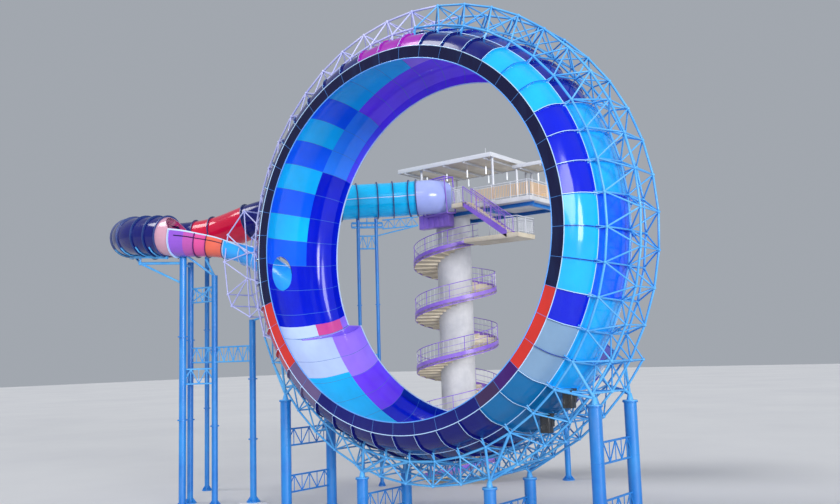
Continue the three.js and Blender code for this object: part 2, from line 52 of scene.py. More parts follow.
BODY = "root"
TINT = "panel_tint"

SHIFT = Vector((6.92, -7.991, 0.0))  # from the foot of the ring axis to the frame
RING_HEIGHT = 14.4
RING_CENTRE = SHIFT + Vector((0.0, 0.0, RING_HEIGHT))
RING_RADIUS = 12.0
SEGMENTS = 9
SEGMENT = 40.0
BAYS = 5
BAY = SEGMENT / BAYS
FIRST_EDGE = 5.0
WIDE_SEGMENTS = (3, 4, 5)
UP = Vector((0.0, 0.0, 1.0))
FRONT = Vector((0.0, -1.0, 0.0))

Point = tuple[float, float]
Place = tuple[float, float, float]
Colour = tuple[float, float, float]
Box = tuple[float, float, float, float]
Line = tuple[list, list]
Socket = bpy.types.NodeSocket
Vert = bmesh.types.BMVert
Edge = bmesh.types.BMEdge


class Tint(Enum):
    """The moulded colours of the ride, and the painted red light on the flume, as linear colour values."""

    INK = (0.001, 0.001, 0.035)
    NAVY = (0.001, 0.002, 0.14)
    DEEP = (0.001, 0.01, 0.34)
    ROYAL = (0.001, 0.01, 0.6)
    MID = (0.002, 0.13, 1.0)
    AQUA = (0.005, 0.55, 1.0)
    TEAL = (0.002, 0.13, 0.34)
    CYAN = (0.01, 0.42, 0.95)
    PALE_CYAN = (0.03, 0.42, 1.0)
    VIOLET = (0.2, 0.06, 1.0)
    LILAC = (0.4, 0.22, 0.95)
    ICE = (0.42, 0.5, 0.95)
    SKY = (0.03, 0.28, 1.0)
    IRIS = (0.14, 0.1, 1.0)
    PLUM = (0.28, 0.09, 0.6)
    ORCHID = (0.5, 0.09, 0.42)
    MAGENTA = (0.34, 0.012, 0.4)
    MAUVE = (0.13, 0.09, 0.22)
    MAROON = (0.045, 0.005, 0.13)
    DUSK = (0.045, 0.02, 0.08)
    WHITE = (0.58, 0.74, 0.96)
    MIST = (0.2, 0.33, 0.5)
    PEACH = (0.6, 0.32, 0.42)
    RED = (0.6, 0.03, 0.02)
    # Crimson here is painted red light: red lamp light on the flume tube, put into its colour.
    PAINTED_RED_LIGHT = (0.7, 0.004, 0.05)
    ROSE = (0.72, 0.08, 0.32)
    CORAL = (0.85, 0.15, 0.09)
    RIM = (0.5, 0.72, 1.0)
    HALO = (0.12, 0.36, 0.9)
    JOINT = (0.06, 0.2, 0.55)


def at_ring(radius: float, angle: float, depth: float) -> Vector:
    """Finds a point of the ring.

    Args:
        radius: Distance from the ring axis, in ring radii.
        angle: Degrees clockwise from the top.
        depth: Distance along the ring axis, in ring radii.

    Returns:
        The point in the frame.
    """
    turn = math.radians(angle)
    reach = radius * RING_RADIUS
    return RING_CENTRE + Vector((reach * math.sin(turn), depth * RING_RADIUS, reach * math.cos(turn)))


def at_row(row: Point, angle: float) -> Vector:
    """Gives the point of a row at an angle."""
    return at_ring(row[0], angle, row[1])


def at_site(x: float, y: float, z: float) -> Vector:
    """Gives the frame point of a place measured from the foot of the ring axis."""
    return SHIFT + Vector((x, y, z))


def at_axis(x: float, y: float, z: float) -> Vector:
    """Gives the frame point of a place whose height is measured from the ring axis."""
    return SHIFT + Vector((x, y, RING_HEIGHT + z))


def aim(start: Vector, end: Vector) -> Matrix:
    """Gives the turn and move that lay the Z axis from start towards end, with its origin at start."""
    turn = UP.rotation_difference((end - start).normalized())
    return Matrix.Translation(start) @ turn.to_matrix().to_4x4()


def laid(start: Vector, end: Vector, radius: float) -> Matrix:
    """Gives the place of a shape of unit length and radius that is laid from start to end."""
    return aim(start, end) @ Matrix.Diagonal((radius, radius, (end - start).length, 1.0))


def picked(geom: Iterable[object], kind: type) -> list:
    """Gives the items of one kind out of an operator's result."""
    return [item for item in geom if isinstance(item, kind)]


def round_line(x: float, y: float, radius: float, turns: Iterable[float]) -> list[Point]:
    """Gives the points of a round outline about a point, at the given angles."""
    return [(x + radius * math.cos(turn), y + radius * math.sin(turn)) for turn in turns]


class Board:
    """Lays out the shader nodes of one material."""

    def __init__(self, name: str) -> None:
        """Starts an empty material.

        Args:
            name: Name of the material.
        """
        self.material = bpy.data.materials.new(name)
        self.material.use_nodes = True
        self.nodes = self.material.node_tree.nodes
        self.links = self.material.node_tree.links
        self.nodes.clear()
        self.place = self.add("ShaderNodeTexCoord").outputs["Object"]

    def add(self, kind: str, inputs: dict | None = None, **settings: object) -> bpy.types.Node:
        """Adds one node.

        Args:
            kind: Type of the node.
            inputs: Values or sockets for its inputs, by name or number.
            **settings: Properties of the node.

        Returns:
            The new node.
        """
        node = self.nodes.new(kind)
        for key, value in settings.items():
            setattr(node, key, value)
        for key, value in (inputs or {}).items():
            if isinstance(value, Socket):
                self.links.new(value, node.inputs[key])
            else:
                node.inputs[key].default_value = value
        return node

    def noise(self, scale: float, detail: float = 4.0, stretch: Place = (1.0, 1.0, 1.0)) -> Socket:
        """Adds noise on object coordinates.

        Args:
            scale: Spots per metre, roughly.
            detail: Octaves.
            stretch: Scale of each axis.

        Returns:
            The noise value, about 0.5 on average.
        """
        place = self.add("ShaderNodeMapping", {"Vector": self.place, "Scale": stretch}).outputs[0]
        inputs = {"Vector": place, "Scale": scale, "Detail": detail, "Roughness": 0.6}
        return self.add("ShaderNodeTexNoise", inputs).outputs[0]

    def span(self, value: Socket, low: float, high: float, a: float = 0.3, b: float = 0.7) -> Socket:
        """Maps a value from a range to another.

        Args:
            value: The socket to map.
            low: Result at a.
            high: Result at b.
            a: Start of the old range.
            b: End of the old range.

        Returns:
            The mapped value.
        """
        inputs = {"Value": value, "From Min": a, "From Max": b, "To Min": low, "To Max": high}
        return self.add("ShaderNodeMapRange", inputs).outputs[0]

    def maths(self, operation: str, a: Socket, b: float) -> Socket:
        """Adds a maths node of two values and gives its result."""
        return self.add("ShaderNodeMath", {0: a, 1: b}, operation=operation).outputs[0]

    def mix(self, share: object, a: object, b: object, blend: str = "MIX") -> Socket:
        """Mixes two colours.

        Args:
            share: Share of the second colour.
            a: First colour.
            b: Second colour.
            blend: Way of mixing.

        Returns:
            The mixed colour.
        """
        first, second = (c if isinstance(c, Socket) else (*c, 1.0) for c in (a, b))
        inputs = {0: share, 6: first, 7: second}  # the node's factor and its two colour inputs
        return self.add("ShaderNodeMix", inputs, data_type="RGBA", blend_type=blend).outputs[2]

    def bump(self, height: Socket, distance: float, strength: float, under: Socket | None = None) -> Socket:
        """Turns a height into a normal.

        Args:
            height: The height.
            distance: Metres that a height of one stands for.
            strength: Share of the effect.
            under: Normal that it lies on.

        Returns:
            The normal.
        """
        inputs = {"Height": height, "Distance": distance, "Strength": strength}
        if under is not None:
            inputs["Normal"] = under
        return self.add("ShaderNodeBump", inputs).outputs[0]

    def close(self, colour: Socket, rough: object, more: dict | None = None) -> bpy.types.Material:
        """Ends the material in a surface shader.

        Args:
            colour: Its colour.
            rough: Its roughness.
            more: Other inputs of the shader, by name.

        Returns:
            The finished material.
        """
        inputs = {"Base Color": colour, "Roughness": rough, **(more or {})}
        shader = self.add("ShaderNodeBsdfPrincipled", inputs)
        self.add("ShaderNodeOutputMaterial", {"Surface": shader.outputs[0]})
        return self.material


@dataclass(frozen=True)
class Gelcoat:
    """Moulded shell with a clear gloss: tinted panels, water marks, faint print-through of the mat."""

    name: str
    roughness: float = 0.15
    coat: float = 0.4
    streaks: Place = (1.0, 1.0, 0.22)
    dried: Colour = (0.1, 0.35, 0.95)
    speck: Colour = (0.4, 0.6, 1.0)

    def material(self) -> bpy.types.Material:
        """Builds the shell material.

        Returns:
            The material, which reads its colour from the panel tint.
        """
        board = Board(self.name)
        tint = board.add("ShaderNodeAttribute", attribute_name=TINT).outputs["Color"]
        marks = board.noise(1.6, 5.0, self.streaks)
        shade = board.span(board.noise(0.5, 3.0), 0.9, 1.08)
        grey = board.add("ShaderNodeCombineColor", {0: shade, 1: shade, 2: shade}).outputs[0]
        deep = board.mix(1.0, tint, grey, "MULTIPLY")
        dried = board.mix(board.span(marks, 0.0, 0.025, 0.5, 0.75), deep, self.dried)
        colour = board.mix(board.span(board.noise(28.0, 2.0), 0.0, 0.008), dried, self.speck)
        rough = board.maths("ADD", board.span(marks, -0.03, 0.08), self.roughness)
        mat = board.bump(board.noise(70.0, 2.0), 0.0015, 0.25)
        gloss = {
            "Normal": board.bump(board.noise(1.3, 1.0), 0.012, 0.35, mat),
            "Coat Weight": self.coat,
            "Coat Roughness": 0.06,
            "IOR": 1.5,
            "Specular IOR Level": 0.25,
        }
        return board.close(colour, rough, gloss)


@dataclass(frozen=True)
class SteelPaint:
    """Painted steel: gloss paint with orange peel, faded patches, dust and a few rust-brown chips."""

    name: str
    colour: Colour
    faded: Colour
    roughness: float = 0.35
    chips: float = 0.5
    dust: Colour = (0.55, 0.6, 0.62)
    rust: Colour = (0.2, 0.12, 0.09)

    def material(self) -> bpy.types.Material:
        """Builds the paint.

        Returns:
            The material.
        """
        board = Board(self.name)
        body = board.mix(board.span(board.noise(0.45), 0.0, 1.0), self.colour, self.faded)
        run = board.noise(3.0, 4.0, (1.0, 1.0, 0.15))
        dusty = board.mix(board.span(run, 0.0, 0.08, 0.52, 0.78), body, self.dust)
        chip = board.maths("MULTIPLY", board.span(board.noise(16.0, 3.0), 0.0, 1.0, 0.735, 0.76), self.chips)
        colour = board.mix(chip, dusty, self.rust)
        rough = board.maths("ADD", board.span(run, -0.05, 0.16), self.roughness)
        peel = board.bump(board.noise(120.0, 1.0), 0.0006, 0.3)
        gloss = {"Normal": board.bump(chip, -0.001, 0.5, peel), "Coat Weight": 0.25, "Coat Roughness": 0.15}
        return board.close(colour, rough, gloss)


@dataclass(frozen=True)
class Concrete:
    """Painted or bare concrete: cloudy tone, fine pores and rain runs."""

    name: str
    colour: Colour
    dark: Colour
    roughness: float = 0.7
    grit: Colour = (0.25, 0.25, 0.27)

    def material(self) -> bpy.types.Material:
        """Builds the concrete.

        Returns:
            The material.
        """
        board = Board(self.name)
        cloud = board.span(board.noise(0.7, 6.0), 0.0, 1.0)
        body = board.mix(cloud, self.colour, self.dark)
        run = board.noise(2.4, 4.0, (1.0, 1.0, 0.08))
        wet = board.mix(board.span(run, 0.0, 0.35, 0.5, 0.72), body, self.dark)
        colour = board.mix(board.span(board.noise(45.0, 3.0), 0.0, 0.12), wet, self.grit)
        rough = board.span(cloud, self.roughness - 0.1, self.roughness + 0.1)
        return board.close(colour, rough, {"Normal": board.bump(board.noise(60.0), 0.003, 0.5)})


@dataclass(frozen=True)
class SheetRoof:
    """Coated roof sheet: chalky pale face with stains towards the laps."""

    name: str
    colour: Colour
    stain: Colour

    def material(self) -> bpy.types.Material:
        """Builds the coated sheet.

        Returns:
            The material.
        """
        board = Board(self.name)
        body = board.mix(board.span(board.noise(0.9, 5.0), 0.0, 0.5), self.colour, self.stain)
        drift = board.noise(3.0, 3.0, (1.0, 0.12, 1.0))
        colour = board.mix(board.span(drift, 0.0, 0.3, 0.5, 0.7), body, self.stain)
        face = {"Normal": board.bump(board.noise(90.0, 2.0), 0.0008, 0.3), "Coat Weight": 0.1}
        return board.close(colour, board.span(drift, 0.35, 0.6), face)


@dataclass(frozen=True)
class LampGlass:
    """Frosted lamp glass, faintly lit."""

    name: str
    colour: Colour = (0.95, 0.97, 1.0)
    shade: Colour = (0.75, 0.85, 0.95)
    glow: Colour = (0.9, 0.95, 1.0)

    def material(self) -> bpy.types.Material:
        """Builds the frosted glass.

        Returns:
            The material.
        """
        board = Board(self.name)
        colour = board.mix(board.span(board.noise(3.0), 0.0, 0.4), self.colour, self.shade)
        light = {"Emission Color": (*self.glow, 1.0), "Emission Strength": 0.6}
        return board.close(colour, board.span(board.noise(25.0, 3.0), 0.25, 0.5), light)


@dataclass(frozen=True)
class Palette:
    """Every finish of the ride, made once."""

    shell: bpy.types.Material
    # Truss paint made paler and lilac: painted lilac light on the left of the ring.
    pale: bpy.types.Material
    truss: bpy.types.Material
    column: bpy.types.Material
    flange: bpy.types.Material
    stone: bpy.types.Material
    stair: bpy.types.Material
    roof: bpy.types.Material
    rail: bpy.types.Material
    violet: bpy.types.Material
    amber: bpy.types.Material
    dark: bpy.types.Material
    lamp: bpy.types.Material

    @classmethod
    def mixed(cls) -> "Palette":
        """Mixes every finish.

        Returns:
            The palette.
        """
        finishes = {
            "shell": Gelcoat("gelcoat_shell"),
            # A paler lilac copy of the truss paint, as painted lilac light.
            "pale": SteelPaint("truss_paint_lilac_light", (0.42, 0.46, 0.9), (0.6, 0.6, 0.92)),
            "truss": SteelPaint("truss_paint", (0.04, 0.32, 0.78), (0.12, 0.48, 0.86)),
            "column": SteelPaint("column_paint", (0.003, 0.15, 0.55), (0.015, 0.25, 0.68)),
            "flange": SteelPaint("flange_paint", (0.012, 0.03, 0.16), (0.02, 0.06, 0.24), 0.4),
            "stone": Concrete("tower_concrete", (0.74, 0.74, 0.76), (0.52, 0.53, 0.56)),
            "stair": Concrete("stair_concrete", (0.78, 0.7, 0.54), (0.6, 0.52, 0.38), 0.6),
            "roof": SheetRoof("roof_sheet", (0.78, 0.7, 0.56), (0.5, 0.44, 0.36)),
            "rail": SteelPaint("rail_paint", (0.7, 0.72, 0.76), (0.58, 0.6, 0.66), 0.3),
            "violet": SteelPaint("gallery_paint", (0.2, 0.08, 0.62), (0.34, 0.2, 0.72), 0.4),
            "amber": SteelPaint("baluster_paint", (0.8, 0.36, 0.04), (0.85, 0.5, 0.14), 0.4, 0.2),
            "dark": SteelPaint("housing_paint", (0.015, 0.016, 0.02), (0.03, 0.032, 0.036), 0.5, 0.2),
            "lamp": LampGlass("lamp_glass"),
        }
        return cls(**{use: finish.material() for use, finish in finishes.items()})


class Stock:
    """Ready-made small shapes that are stamped many times, each about one unit long or wide."""

    _meshes: dict[str, bpy.types.Mesh] = {}

    @classmethod
    def get(cls, name: str, make: Callable[[bmesh.types.BMesh], object]) -> bpy.types.Mesh:
        """Gives a stock shape, and makes it the first time.

        Args:
            name: Name of the shape.
            make: Builds it in an empty bmesh.

        Returns:
            The mesh to stamp.
        """
        if name not in cls._meshes:
            bm = bmesh.new()
            make(bm)
            bmesh.ops.recalc_face_normals(bm, faces=bm.faces)
            cls._meshes[name] = bpy.data.meshes.new("stock_" + name)
            bm.to_mesh(cls._meshes[name])
            bm.free()
        return cls._meshes[name]

    @classmethod
    def strut(cls, sides: int) -> bpy.types.Mesh:
        """Gives a round strut of unit length and radius with coned ends.

        Args:
            sides: Number of its sides.

        Returns:
            The mesh to stamp.
        """

        def make(bm: bmesh.types.BMesh) -> None:
            """Raises a circle through the cone, the shaft and the other cone."""
            start = bmesh.ops.create_circle(bm, cap_ends=True, segments=sides, radius=0.5)
            edges = list({e for v in start["verts"] for e in v.link_edges})
            for rise, grow in ((0.07, 2.0), (0.86, 1.0), (0.07, 0.5)):
                made = bmesh.ops.extrude_edge_only(bm, edges=edges)["geom"]
                verts, edges = picked(made, Vert), picked(made, Edge)
                bmesh.ops.scale(bm, vec=(grow, grow, 1.0), verts=verts)
                bmesh.ops.translate(bm, vec=UP * rise, verts=verts)
            bmesh.ops.contextual_create(bm, geom=edges)

        return cls.get(f"strut_{sides}", make)

    @classmethod
    def cone(cls, name: str, sides: int, foot: float, head: float, height: float) -> bpy.types.Mesh:
        """Gives a straight or tapered prism that stands on its foot.

        Args:
            name: Name of the shape.
            sides: Number of its sides.
            foot: Radius of its foot.
            head: Radius of its head.
            height: Its height.

        Returns:
            The mesh to stamp.
        """
        size = {"segments": sides, "radius1": foot, "radius2": head, "depth": height}
        lift = Matrix.Translation(UP * (height / 2))
        return cls.get(name, lambda bm: bmesh.ops.create_cone(bm, cap_ends=True, matrix=lift, **size))

    @classmethod
    def ball(cls) -> bpy.types.Mesh:
        """Gives a node ball of unit radius."""
        return cls.get("ball", lambda bm: bmesh.ops.create_icosphere(bm, subdivisions=2, radius=1.0))

    @classmethod
    def clear(cls) -> None:
        """Throws the stock shapes away."""
        for mesh in cls._meshes.values():
            bpy.data.meshes.remove(mesh)
        cls._meshes.clear()


class Workpiece:
    """One piece under construction, with the shop's usual operations."""

    def __init__(self, *finishes: bpy.types.Material) -> None:
        """Starts an empty piece.

        Args:
            *finishes: Materials of the piece, in slot order.
        """
        self.bm = bmesh.new()
        self.tint = self.bm.loops.layers.float_color.new(TINT)
        self.finishes = finishes

    def paint(
        self,
        faces: Iterable[bmesh.types.BMFace],
        slot: int = 0,
        tint: Tint | None = None,
        smooth: bool = True,
    ) -> None:
        """Gives faces their material and tint.

        Args:
            faces: Faces to paint.
            slot: Number of the material.
            tint: Moulded colour.
            smooth: Whether the faces shade smoothly.
        """
        for face in faces:
            face.material_index = slot
            face.smooth = smooth
            if tint is not None:
                for corner in face.loops:
                    corner[self.tint] = (*tint.value, 1.0)

    def absorb(
        self, part: "Workpiece", slot: int | None = None, tint: Tint | None = None, smooth: bool = True
    ) -> None:
        """Takes in another workpiece, which is used up.

        Args:
            part: The other workpiece.
            slot: Number of the material that it is painted with first. None leaves it as it is.
            tint: Moulded colour of that paint.
            smooth: Whether it then shades smoothly.
        """
        if slot is not None:
            part.paint(part.bm.faces, slot, tint, smooth)
        mesh = bpy.data.meshes.new("part")
        part.bm.to_mesh(mesh)
        part.bm.free()
        self.bm.from_mesh(mesh)
        bpy.data.meshes.remove(mesh)

    def stamp(self, shape: bpy.types.Mesh, place: Matrix, slot: int, smooth: bool = True) -> None:
        """Copies a stock shape into the piece.

        Args:
            shape: The stock shape.
            place: Where it goes, with its size.
            slot: Number of the material.
            smooth: Whether it shades smoothly.
        """
        first_vert, first_face = len(self.bm.verts), len(self.bm.faces)
        self.bm.from_mesh(shape)
        self.bm.verts.ensure_lookup_table()
        self.bm.faces.ensure_lookup_table()
        bmesh.ops.transform(self.bm, matrix=place, verts=self.bm.verts[first_vert:])
        self.paint(self.bm.faces[first_face:], slot, None, smooth)

    def strut(self, start: Vector, end: Vector, radius: float, slot: int = 0, sides: int = 8) -> None:
        """Lays a strut with coned ends between two points."""
        self.stamp(Stock.strut(sides), laid(start, end, radius), slot)

    def rod(self, start: Vector, end: Vector, radius: float, slot: int = 0, sides: int = 6) -> None:
        """Lays a plain rod between two points."""
        self.stamp(Stock.cone(f"rod_{sides}", sides, 1.0, 1.0, 1.0), laid(start, end, radius), slot)

    def ball(self, at: Vector, radius: float, slot: int = 0) -> None:
        """Sets a node ball at a point."""
        self.stamp(Stock.ball(), Matrix.Translation(at) @ Matrix.Scale(radius, 4), slot)

    def bolt(self, at: Vector, along: Vector, size: float, slot: int = 0) -> None:
        """Sets a hexagon bolt head at a point, facing along a direction."""
        head = Stock.cone("bolt", 6, 0.5, 0.42, 0.5)
        self.stamp(head, aim(at, at + along) @ Matrix.Scale(size, 4), slot, False)

    def block(self, low: Vector, high: Vector, slot: int = 0, edge: float = 0.01) -> None:
        """Makes a block with eased edges.

        Args:
            low: Lowest corner.
            high: Highest corner.
            slot: Number of the material.
            edge: Width of the eased edges.
        """
        size = high - low
        part = Workpiece()
        place = Matrix.Translation((low + high) / 2) @ Matrix.Diagonal((*size, 1.0))
        bmesh.ops.create_cube(part.bm, size=1.0, matrix=place)
        ease = {"offset": min(edge, min(size) * 0.4), "segments": 2, "profile": 0.5, "affect": "EDGES"}
        bmesh.ops.bevel(part.bm, geom=part.bm.edges[:], material=-1, **ease)
        self.absorb(part, slot)

    def slab(self, corners: Sequence[Vector], along: Vector, slot: int = 0) -> None:
        """Makes a flat plate with sharp edges.

        Args:
            corners: Corners of one face.
            along: Way to the other face.
            slot: Number of the material.
        """
        part = Workpiece()
        face = part.bm.faces.new(part.outline(corners)[0])
        made = bmesh.ops.extrude_face_region(part.bm, geom=[face])["geom"]
        bmesh.ops.translate(part.bm, vec=along, verts=picked(made, Vert))
        part.face_out()
        self.absorb(part, slot, None, False)

    def outline(self, points: Sequence[Vector], closed: bool = True) -> Line:
        """Draws a line of vertices and edges.

        Args:
            points: The places of its vertices.
            closed: Whether the line comes back to its start.

        Returns:
            The vertices and the edges.
        """
        verts = [self.bm.verts.new(p) for p in points]
        pairs = zip(verts, verts[1:] + verts[:1] if closed else verts[1:])
        return verts, [self.bm.edges.new(pair) for pair in pairs]

    def spin(
        self, line: Line, centre: Vector, axis: Vector, angle: float, steps: int, rise: float = 0.0
    ) -> Line:
        """Carries a line round an axis. A whole turn joins up with its start.

        Args:
            line: Vertices and edges of the line.
            centre: A point of the axis.
            axis: Direction of the axis.
            angle: The whole angle, in radians.
            steps: Number of steps.
            rise: Lift at each step.

        Returns:
            The vertices and edges of the last line.
        """
        way = {"cent": centre, "axis": axis, "angle": angle, "steps": steps, "dvec": UP * rise}
        whole = angle == math.tau
        made = bmesh.ops.spin(self.bm, geom=[*line[0], *line[1]], use_merge=whole, **way)["geom_last"]
        return picked(made, Vert), picked(made, Edge)

    def spin_ring(self, line: Line, start: float, end: float, pitch: float = 2.0) -> Line:
        """Carries a line round the ring axis.

        Args:
            line: Vertices and edges of the line.
            start: Angle of the line.
            end: Last angle.
            pitch: Degrees of one step, at most.

        Returns:
            The vertices and edges of the last line.
        """
        steps = max(1, math.ceil((end - start) / pitch - 1e-6))
        return self.spin(line, RING_CENTRE, -FRONT, math.radians(end - start), steps)

    def turned(
        self, centre: Vector, levels: Sequence[Point], slot: int = 0, sides: int = 24, axis: Vector = UP
    ) -> None:
        """Turns a closed body from radius and height pairs.

        Args:
            centre: Foot of the axis.
            levels: Radius and height pairs, from the foot up.
            slot: Number of the material.
            sides: Steps of the turn.
            axis: Direction of the axis.
        """
        part = Workpiece()
        profile = [(0.0, levels[0][1]), *levels, (0.0, levels[-1][1])]
        line = part.outline([Vector((r, 0.0, z)) for r, z in profile], False)
        part.spin(line, Vector(), UP, math.tau, sides)
        bmesh.ops.remove_doubles(part.bm, verts=part.bm.verts, dist=1e-5)
        part.face_out()
        bmesh.ops.transform(part.bm, matrix=aim(centre, centre + axis), verts=part.bm.verts)
        self.absorb(part, slot)

    def loop_rod(self, row: Point, radius: float, start: float, end: float, tint: Tint) -> None:
        """Bends a round bar along the ring.

        Args:
            row: Place of the bar across the ring.
            radius: Radius of the bar in metres.
            start: First angle.
            end: Last angle.
            tint: Moulded colour.
        """
        part = Workpiece()
        place = aim(at_row(row, start), at_row(row, start + 0.1))
        made = bmesh.ops.create_circle(part.bm, cap_ends=False, segments=8, radius=radius, matrix=place)
        part.spin_ring((made["verts"], part.bm.edges[:]), start, end)
        part.close_ends()
        self.absorb(part, 0, tint)

    def face_out(self) -> None:
        """Turns every face outwards."""
        bmesh.ops.recalc_face_normals(self.bm, faces=self.bm.faces)

    def close_ends(self) -> None:
        """Fills the open ends and turns every face outwards."""
        bmesh.ops.edgenet_fill(self.bm, edges=[e for e in self.bm.edges if e.is_boundary])
        self.face_out()

    def sweep(self, points: Sequence[Point], frames: Sequence[Matrix]) -> None:
        """Carries a closed outline through a list of frames and leaves its ends open.

        Args:
            points: The outline, across and up.
            frames: Places of the outline, whose X is across and Y is up.
        """
        edges = self.outline([frames[0] @ Vector((x, y, 0.0)) for x, y in points])[1]
        for before, after in zip(frames, frames[1:]):
            made = bmesh.ops.extrude_edge_only(self.bm, edges=edges)["geom"]
            edges = picked(made, Edge)
            bmesh.ops.transform(self.bm, matrix=after @ before.inverted(), verts=picked(made, Vert))

    @classmethod
    def swept(cls, points: Sequence[Point], frames: Sequence[Matrix]) -> "Workpiece":
        """Makes a closed body from an outline carried through a list of frames.

        Args:
            points: The outline, across and up.
            frames: Places of the outline, whose X is across and Y is up.

        Returns:
            The body.
        """
        part = cls()
        part.sweep(points, frames)
        part.close_ends()
        return part

    def cut(self, tool: "Workpiece", overlapping: bool = False) -> None:
        """Cuts the body of another workpiece out of this one.

        Args:
            tool: The other workpiece, which is used up.
            overlapping: Whether this one is made of shapes that run into each other.
        """
        rough = []
        for part in (self, tool):
            mesh = bpy.data.meshes.new("rough")
            part.bm.to_mesh(mesh)
            part.bm.free()
            rough.append(bpy.data.objects.new("rough", mesh))
            bpy.context.scene.collection.objects.link(rough[-1])
        cutter = rough[0].modifiers.new("cut", "BOOLEAN")
        cutter.operation = "DIFFERENCE"
        cutter.solver = "EXACT"
        cutter.use_self = overlapping
        cutter.object = rough[1]
        bpy.context.view_layer.update()
        graph = bpy.context.evaluated_depsgraph_get()
        made = bpy.data.meshes.new_from_object(rough[0].evaluated_get(graph))
        self.bm = bmesh.new()
        self.bm.from_mesh(made)
        layers = self.bm.loops.layers.float_color
        self.tint = layers.get(TINT) or layers.new(TINT)
        for piece in rough:
            mesh = piece.data
            bpy.data.objects.remove(piece)
            bpy.data.meshes.remove(mesh)
        bpy.data.meshes.remove(made)

    def finish(self, name: str, slot: str, node: str, crease: float = 35.0) -> None:
        """Turns the workpiece into a finished piece of the ride.

        Args:
            name: Name of the piece.
            slot: Name of a material slot. It is not used.
            node: CAD node that it stands for.
            crease: Angle over which an edge stays sharp, in degrees.
        """
        mesh = bpy.data.meshes.new(name)
        self.bm.to_mesh(mesh)
        self.bm.free()
        for material in self.finishes:
            mesh.materials.append(material)
        mesh.set_sharp_from_angle(angle=math.radians(crease))
        piece = bpy.data.objects.new(name, mesh)
        bpy.context.scene.collection.objects.link(piece)
        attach(piece, BODY)
        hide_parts(node)
        LOG.info("%s: %d faces", name, len(mesh.polygons))


@dataclass(frozen=True)
class RingSection:
    """Cross section of the ring channel, as rows from the front rim back."""

    points: tuple[Point, ...]
    wall: float = 0.055

    @property
    def folds(self) -> tuple[Point, Point, Point]:
        """Gives the front crease, the front edge of the base and its back edge."""
        return self.points[1], self.points[3], self.points[-4]

    def fine(self) -> list[Point]:
        """Rounds the belly of the section.

        Returns:
            The section with more points between its creases.
        """
        fine = [self.points[0]]
        body = self.points[1:-1]
        for i, (p, q) in enumerate(zip(body, body[1:])):
            before = body[i - 1] if i > 0 else p
            after = body[i + 2] if i + 2 < len(body) else q
            fine += [self.blend(before, p, q, after, t) for t in (0.0, 0.34, 0.67)]
        return [*fine, body[-1], self.points[-1]]

    @staticmethod
    def blend(a: Point, b: Point, c: Point, d: Point, t: float) -> Point:
        """Gives a point of the smooth curve through b and c.

        Args:
            a: Point before.
            b: First point.
            c: Second point.
            d: Point after.
            t: Share of the way.

        Returns:
            The point.
        """
        out = []
        for p, q, r, s in zip(a, b, c, d):
            m, n = (r - p) / 2, (s - q) / 2
            out.append(q + m * t + (3 * (r - q) - 2 * m - n) * t**2 + (m + n - 2 * (r - q)) * t**3)
        return out[0], out[1]

    def offset(self, points: Sequence[Point], inward: float) -> list[Point]:
        """Moves a section towards the inside of the channel.

        Args:
            points: The section.
            inward: Distance in metres.

        Returns:
            The moved section.
        """
        step = inward / RING_RADIUS
        moved = []
        for i, (r, d) in enumerate(points):
            a, b = points[max(i - 1, 0)], points[min(i + 1, len(points) - 1)]
            length = math.hypot(b[0] - a[0], b[1] - a[1])
            moved.append((r - (b[1] - a[1]) / length * step, d + (b[0] - a[0]) / length * step))
        return moved


FRONT_HALF: tuple[Point, ...] = (
    (0.7355, -0.241),
    (0.786, -0.243),
    (0.8365, -0.2105),
    (0.867, -0.14),
    (0.893, -0.075),
    (0.903, 0.0),
)
NARROW = RingSection(
    (*FRONT_HALF, (0.893, 0.075), (0.867, 0.14), (0.8365, 0.2085), (0.786, 0.24), (0.747, 0.238))
)
WIDE = RingSection(
    (*FRONT_HALF, (0.903, 0.1), (0.867, 0.23), (0.8365, 0.2985), (0.786, 0.33), (0.748, 0.33))
)


class Row(Enum):
    """The rows of panels across the channel."""

    BAND = "band"
    WALL = "wall"
    BASE = "base"
    BACK = "back"
    INSIDE_FRONT = "inside_front"
    INSIDE_BASE = "inside_base"
    INSIDE_BACK = "inside_back"
    INSIDE_RIM = "inside_rim"


